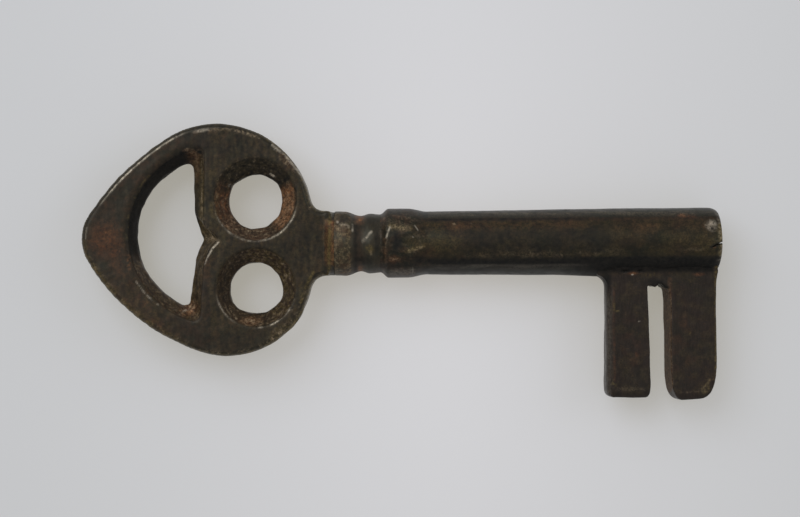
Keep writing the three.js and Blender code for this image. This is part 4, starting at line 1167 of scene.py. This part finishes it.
bit_outline = [(BIT_RIGHT + 0.2, ROOT_TOP), (BIT_LEFT - 1.3, ROOT_TOP), (BIT_LEFT - 1.3, -4.34)]
bit_outline += curve((BIT_LEFT - 1.3, -4.34), (BIT_LEFT - 0.05, -4.5), (BIT_LEFT, -5.8), 8)
bit_outline += [(BIT_LEFT - 0.1, LEFT_END + 1.2)]
bit_outline += curve((BIT_LEFT - 0.1, LEFT_END + 1.2), (BIT_LEFT - 0.1, LEFT_END), (BIT_LEFT + 0.7, LEFT_END), 6)
bit_outline += [(SLOT_LEFT - 0.2, LEFT_END)]
bit_outline += curve((SLOT_LEFT - 0.2, LEFT_END), (SLOT_LEFT + 0.35, LEFT_END), (SLOT_LEFT + 0.34, LEFT_END + 1.8), 6)
bit_outline += [(SLOT_LEFT + 0.25, -13.0), (SLOT_LEFT + 0.08, -8.0), (SLOT_LEFT, -5.6), (SLOT_LEFT + 0.5, -5.65)]
bit_outline += [(SLOT_LEFT + 0.9, -5.9), (SLOT_LEFT + 1.15, -5.7), (SLOT_LEFT + 1.4, -5.4), (SLOT_LEFT + 1.75, -5.45)]
bit_outline += [(SLOT_LEFT + 2.0, -5.95), (SLOT_LEFT + 2.4, -6.05), (SLOT_RIGHT - 0.1, -6.6), (SLOT_RIGHT, -8.0)]
bit_outline += [(SLOT_RIGHT + 0.03, RIGHT_END + 3.6)]
bit_outline += curve((SLOT_RIGHT + 0.03, RIGHT_END + 3.6), (SLOT_RIGHT + 0.12, RIGHT_END), (SLOT_RIGHT + 1.5, RIGHT_END - 0.08), 10)
bit_outline += [(BIT_RIGHT - 2.2, RIGHT_END + 0.06)]
bit_outline += curve((BIT_RIGHT - 2.2, RIGHT_END + 0.06), (BIT_RIGHT - 0.15, RIGHT_END + 0.2), (BIT_RIGHT, RIGHT_END + 4.2), 12)
bit_outline += [(BIT_RIGHT, -6.0), (BIT_RIGHT + 0.1, -4.9), (BIT_RIGHT + 0.3, -4.0)]
bit_bm = bmesh.new()
cap(bit_bm, edge_loop(bit_bm, bit_outline, -BIT_HALF_THICKNESS))
bit_grown = bmesh.ops.extrude_face_region(bit_bm, geom=bit_bm.faces[:])
bit_top = [item for item in bit_grown["geom"] if isinstance(item, bmesh.types.BMVert)]
bmesh.ops.translate(bit_bm, verts=bit_top, vec=(0, 0, 2 * BIT_HALF_THICKNESS))
bit = link_mesh("bit_plate", bit_bm)
reskin(bit, BIT_SKIN, 3)
bit_points, bit_normals = mesh_points(bit)
bit_side = np.sign(bit_points[:, 2])
bit_height = np.abs(bit_points[:, 2])
across_slot = np.minimum(
    (bit_points[:, 0] - SLOT_LEFT) / SLOT_WIDTH, (BIT_RIGHT - bit_points[:, 0]) / (BIT_RIGHT - SLOT_RIGHT)
)
from_back = (bit_points[:, 2] + BIT_HALF_THICKNESS) / (2 * BIT_HALF_THICKNESS)
bit_points[:, 0] += SLOT_LEAN * np.clip(across_slot, 0, 1) * from_back

# The long left edge is rounded over: a square corner one millimetre deep becomes a quarter of an oval.
into_edge = np.clip(BIT_LEFT + 1.0 - bit_points[:, 0], 0, 1)
up_edge = np.clip((bit_height - BIT_HALF_THICKNESS + LEFT_ROUNDING) / LEFT_ROUNDING, 0, 1)
drawn_in = 1 - np.maximum(into_edge, up_edge) / np.maximum(np.hypot(into_edge, up_edge), 0.001)
drawn_in *= np.clip((-4.8 - bit_points[:, 1]) / 1.5, 0, 1)
bit_points[:, 0] += into_edge * drawn_in
bit_height -= LEFT_ROUNDING * up_edge * drawn_in

# The prongs grow thinner toward their ends.
end_gap = bit_points[:, 1] - np.where(bit_points[:, 0] < (SLOT_LEFT + SLOT_RIGHT) / 2, LEFT_END, RIGHT_END)
bit_height *= 1 - 0.18 * np.clip(1 - end_gap / 1.1, 0, 1) ** 2

# At its root the plate swells in a fillet into the underside of the shank.
fillet_start = -math.sqrt((SHANK_RADIUS + ROOT_FILLET) ** 2 - (BIT_HALF_THICKNESS + ROOT_FILLET) ** 2)
rise = np.clip(bit_points[:, 1] - fillet_start, 0, ROOT_FILLET - 0.02)
root_height = BIT_HALF_THICKNESS + ROOT_FILLET - np.sqrt(ROOT_FILLET ** 2 - rise ** 2)
under_shank = np.sqrt(np.clip((SHANK_RADIUS - 0.03) ** 2 - bit_points[:, 1] ** 2, 0, None))
touching = fillet_start * SHANK_RADIUS / (SHANK_RADIUS + ROOT_FILLET)
root_height = np.where(bit_points[:, 1] < touching, root_height, np.minimum(root_height, under_shank))
bit_points[:, 2] = bit_side * bit_height * root_height / BIT_HALF_THICKNESS
move_points(bit, bit_points)
bit_points, bit_normals = mesh_points(bit)
root_pits = spot(bit_points, 37.35, -3.85, 0.6, 0.2) + spot(bit_points, 39.3, -3.85, 0.42, 0.18)
slot_top = spot(bit_points, 41.3, -5.35, 1.7, 0.6)
bit_depth = 0.05 * cloud(bit_points, 3.0, 41) + 0.012 * cloud(bit_points, 0.8, 42)
bit_depth += 0.08 * slot_top * cloud(bit_points, 0.5, 43) - 0.25 * root_pits
bit_points += bit_normals * bit_depth[:, None]
move_points(bit, bit_points)
bit_x = bit_points[:, 0]
bit_y = bit_points[:, 1]
bit_level = np.abs(bit_normals[:, 2])
on_right_edge = np.clip((bit_x - (BIT_RIGHT - 0.35)) / 0.25, 0, 1)
in_slot = np.clip((0.9 - bit_level) / 0.3, 0, 1) * (bit_x > SLOT_LEFT + 1.5) * (bit_x < SLOT_RIGHT + 0.6) * (bit_y < -6)
near_root = np.clip((bit_y + 4.15) / 0.35, 0, 1) * (bit_x < BIT_RIGHT - 0.4)
bit_specks = broken(bit_points, 0.4, 44)
bit_patchy = broken(bit_points, 1.4, 45, 0.4)
outer_corner = spot(bit_points, 48.0, -18.6, 1.5, 0.8, 55)
# Painted shade at the bit's root under the shank, at its left root corner and in the top of the ward slot; the thin
# pale strip on the left edge is partly a painted sheen
paint(
    bit,
    rust=0.8 * in_slot
    + 0.5 * stroke(bit_points, 0.35, (43.15, -4.9), (43.15, -7.2))
    + 0.45 * stroke(bit_points, 0.22, (35.95, -6.0), (35.9, -12.0), (36.0, -18.0)) * (0.5 + 0.5 * bit_specks)
    + 0.28 * spot(bit_points, 45.0, -13.0, 3.0, 6.0) * bit_patchy
    + 0.25 * spot(bit_points, 38.0, -14.0, 2.0, 5.0) * bit_patchy
    + 0.5 * spot(bit_points, 38.7, -14.6, 0.5, 0.5) * bit_specks
    + 0.6 * spot(bit_points, 38.5, -4.05, 1.3, 0.35)
    + 0.5 * spot(bit_points, 46.9, -4.3, 1.1, 0.35) * bit_specks,
    warm=0.6 * spot(bit_points, 38.35, -4.1, 0.5, 0.22)
    + 0.2 * spot(bit_points, 47.0, -4.3, 0.9, 0.3) * bit_specks,
    olive=0.7 * on_right_edge * (0.4 + 0.6 * bit_specks)
    + 0.7 * stroke(bit_points, 0.16, (36.0, -8.0), (35.95, -8.9), (36.6, -8.95)) * (0.5 + 0.5 * bit_specks)
    + 0.5 * spot(bit_points, 35.9, -18.2, 0.7, 0.7) * bit_specks
    + 0.45 * outer_corner * bit_specks
    + 0.5 * stroke(bit_points, 0.1, (45.65, -11.95), (45.85, -11.75))
    + 0.35 * spot(bit_points, 40.6, -4.3, 1.4, 0.5) * bit_specks
    + 0.1 * broken(bit_points, 1.0, 46, 0.4) * (bit_level > 0.8)
    + 0.25 * spot(bit_points, 43.8, -18.4, 0.5, 1.2) * bit_specks,
    tan=in_slot * (0.2 + 0.3 * bit_specks)
    + 0.15 * stroke(bit_points, 0.3, (43.15, -5.2), (43.15, -7.2)) * bit_specks
    + 0.14 * stroke(bit_points, 0.35, (36.4, -19.05), (38.7, -19.0), (39.8, -19.05)) * (0.7 + 0.3 * bit_patchy)
    + 0.2 * outer_corner * bit_specks
    + 0.15 * stroke(bit_points, 0.2, (44.5, -19.5), (47.0, -19.4)) * bit_specks,
    dark=0.8 * near_root * (1 - 0.5 * spot(bit_points, 38.4, -4.1, 1.0, 0.3))
    + 0.8 * slot_top
    + 0.9 * spot(bit_points, 42.55, -5.95, 0.8, 0.45)
    + 0.8 * spot(bit_points, BIT_LEFT - 0.1, -5.1, 1.0, 1.5)
    + root_pits
    + 0.2 * broken(bit_points, 0.8, 47, 0.4)
    + 0.6 * stroke(bit_points, 0.1, (43.4, -12.6), (43.35, -14.6)),
    worn=0.9 * spot(bit_points, 38.35, -4.3, 0.13)
    + 0.07 * np.clip((BIT_LEFT + 0.7 - bit_x) / 0.3, 0, 1) * np.clip((-6.3 - bit_y) / 1.5, 0, 1) * (0.5 + 0.5 * bit_specks)
    + 0.6 * spot(bit_points, 39.2, -10.3, 0.11),
)
bit_material = patina("bit_bronze", (43, 38, 32), (46, 38, 33), (5.0, 0.8, 1.0), gloss=0.4, grain=0.12)
set_down(bit, bit_material)
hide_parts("bit")
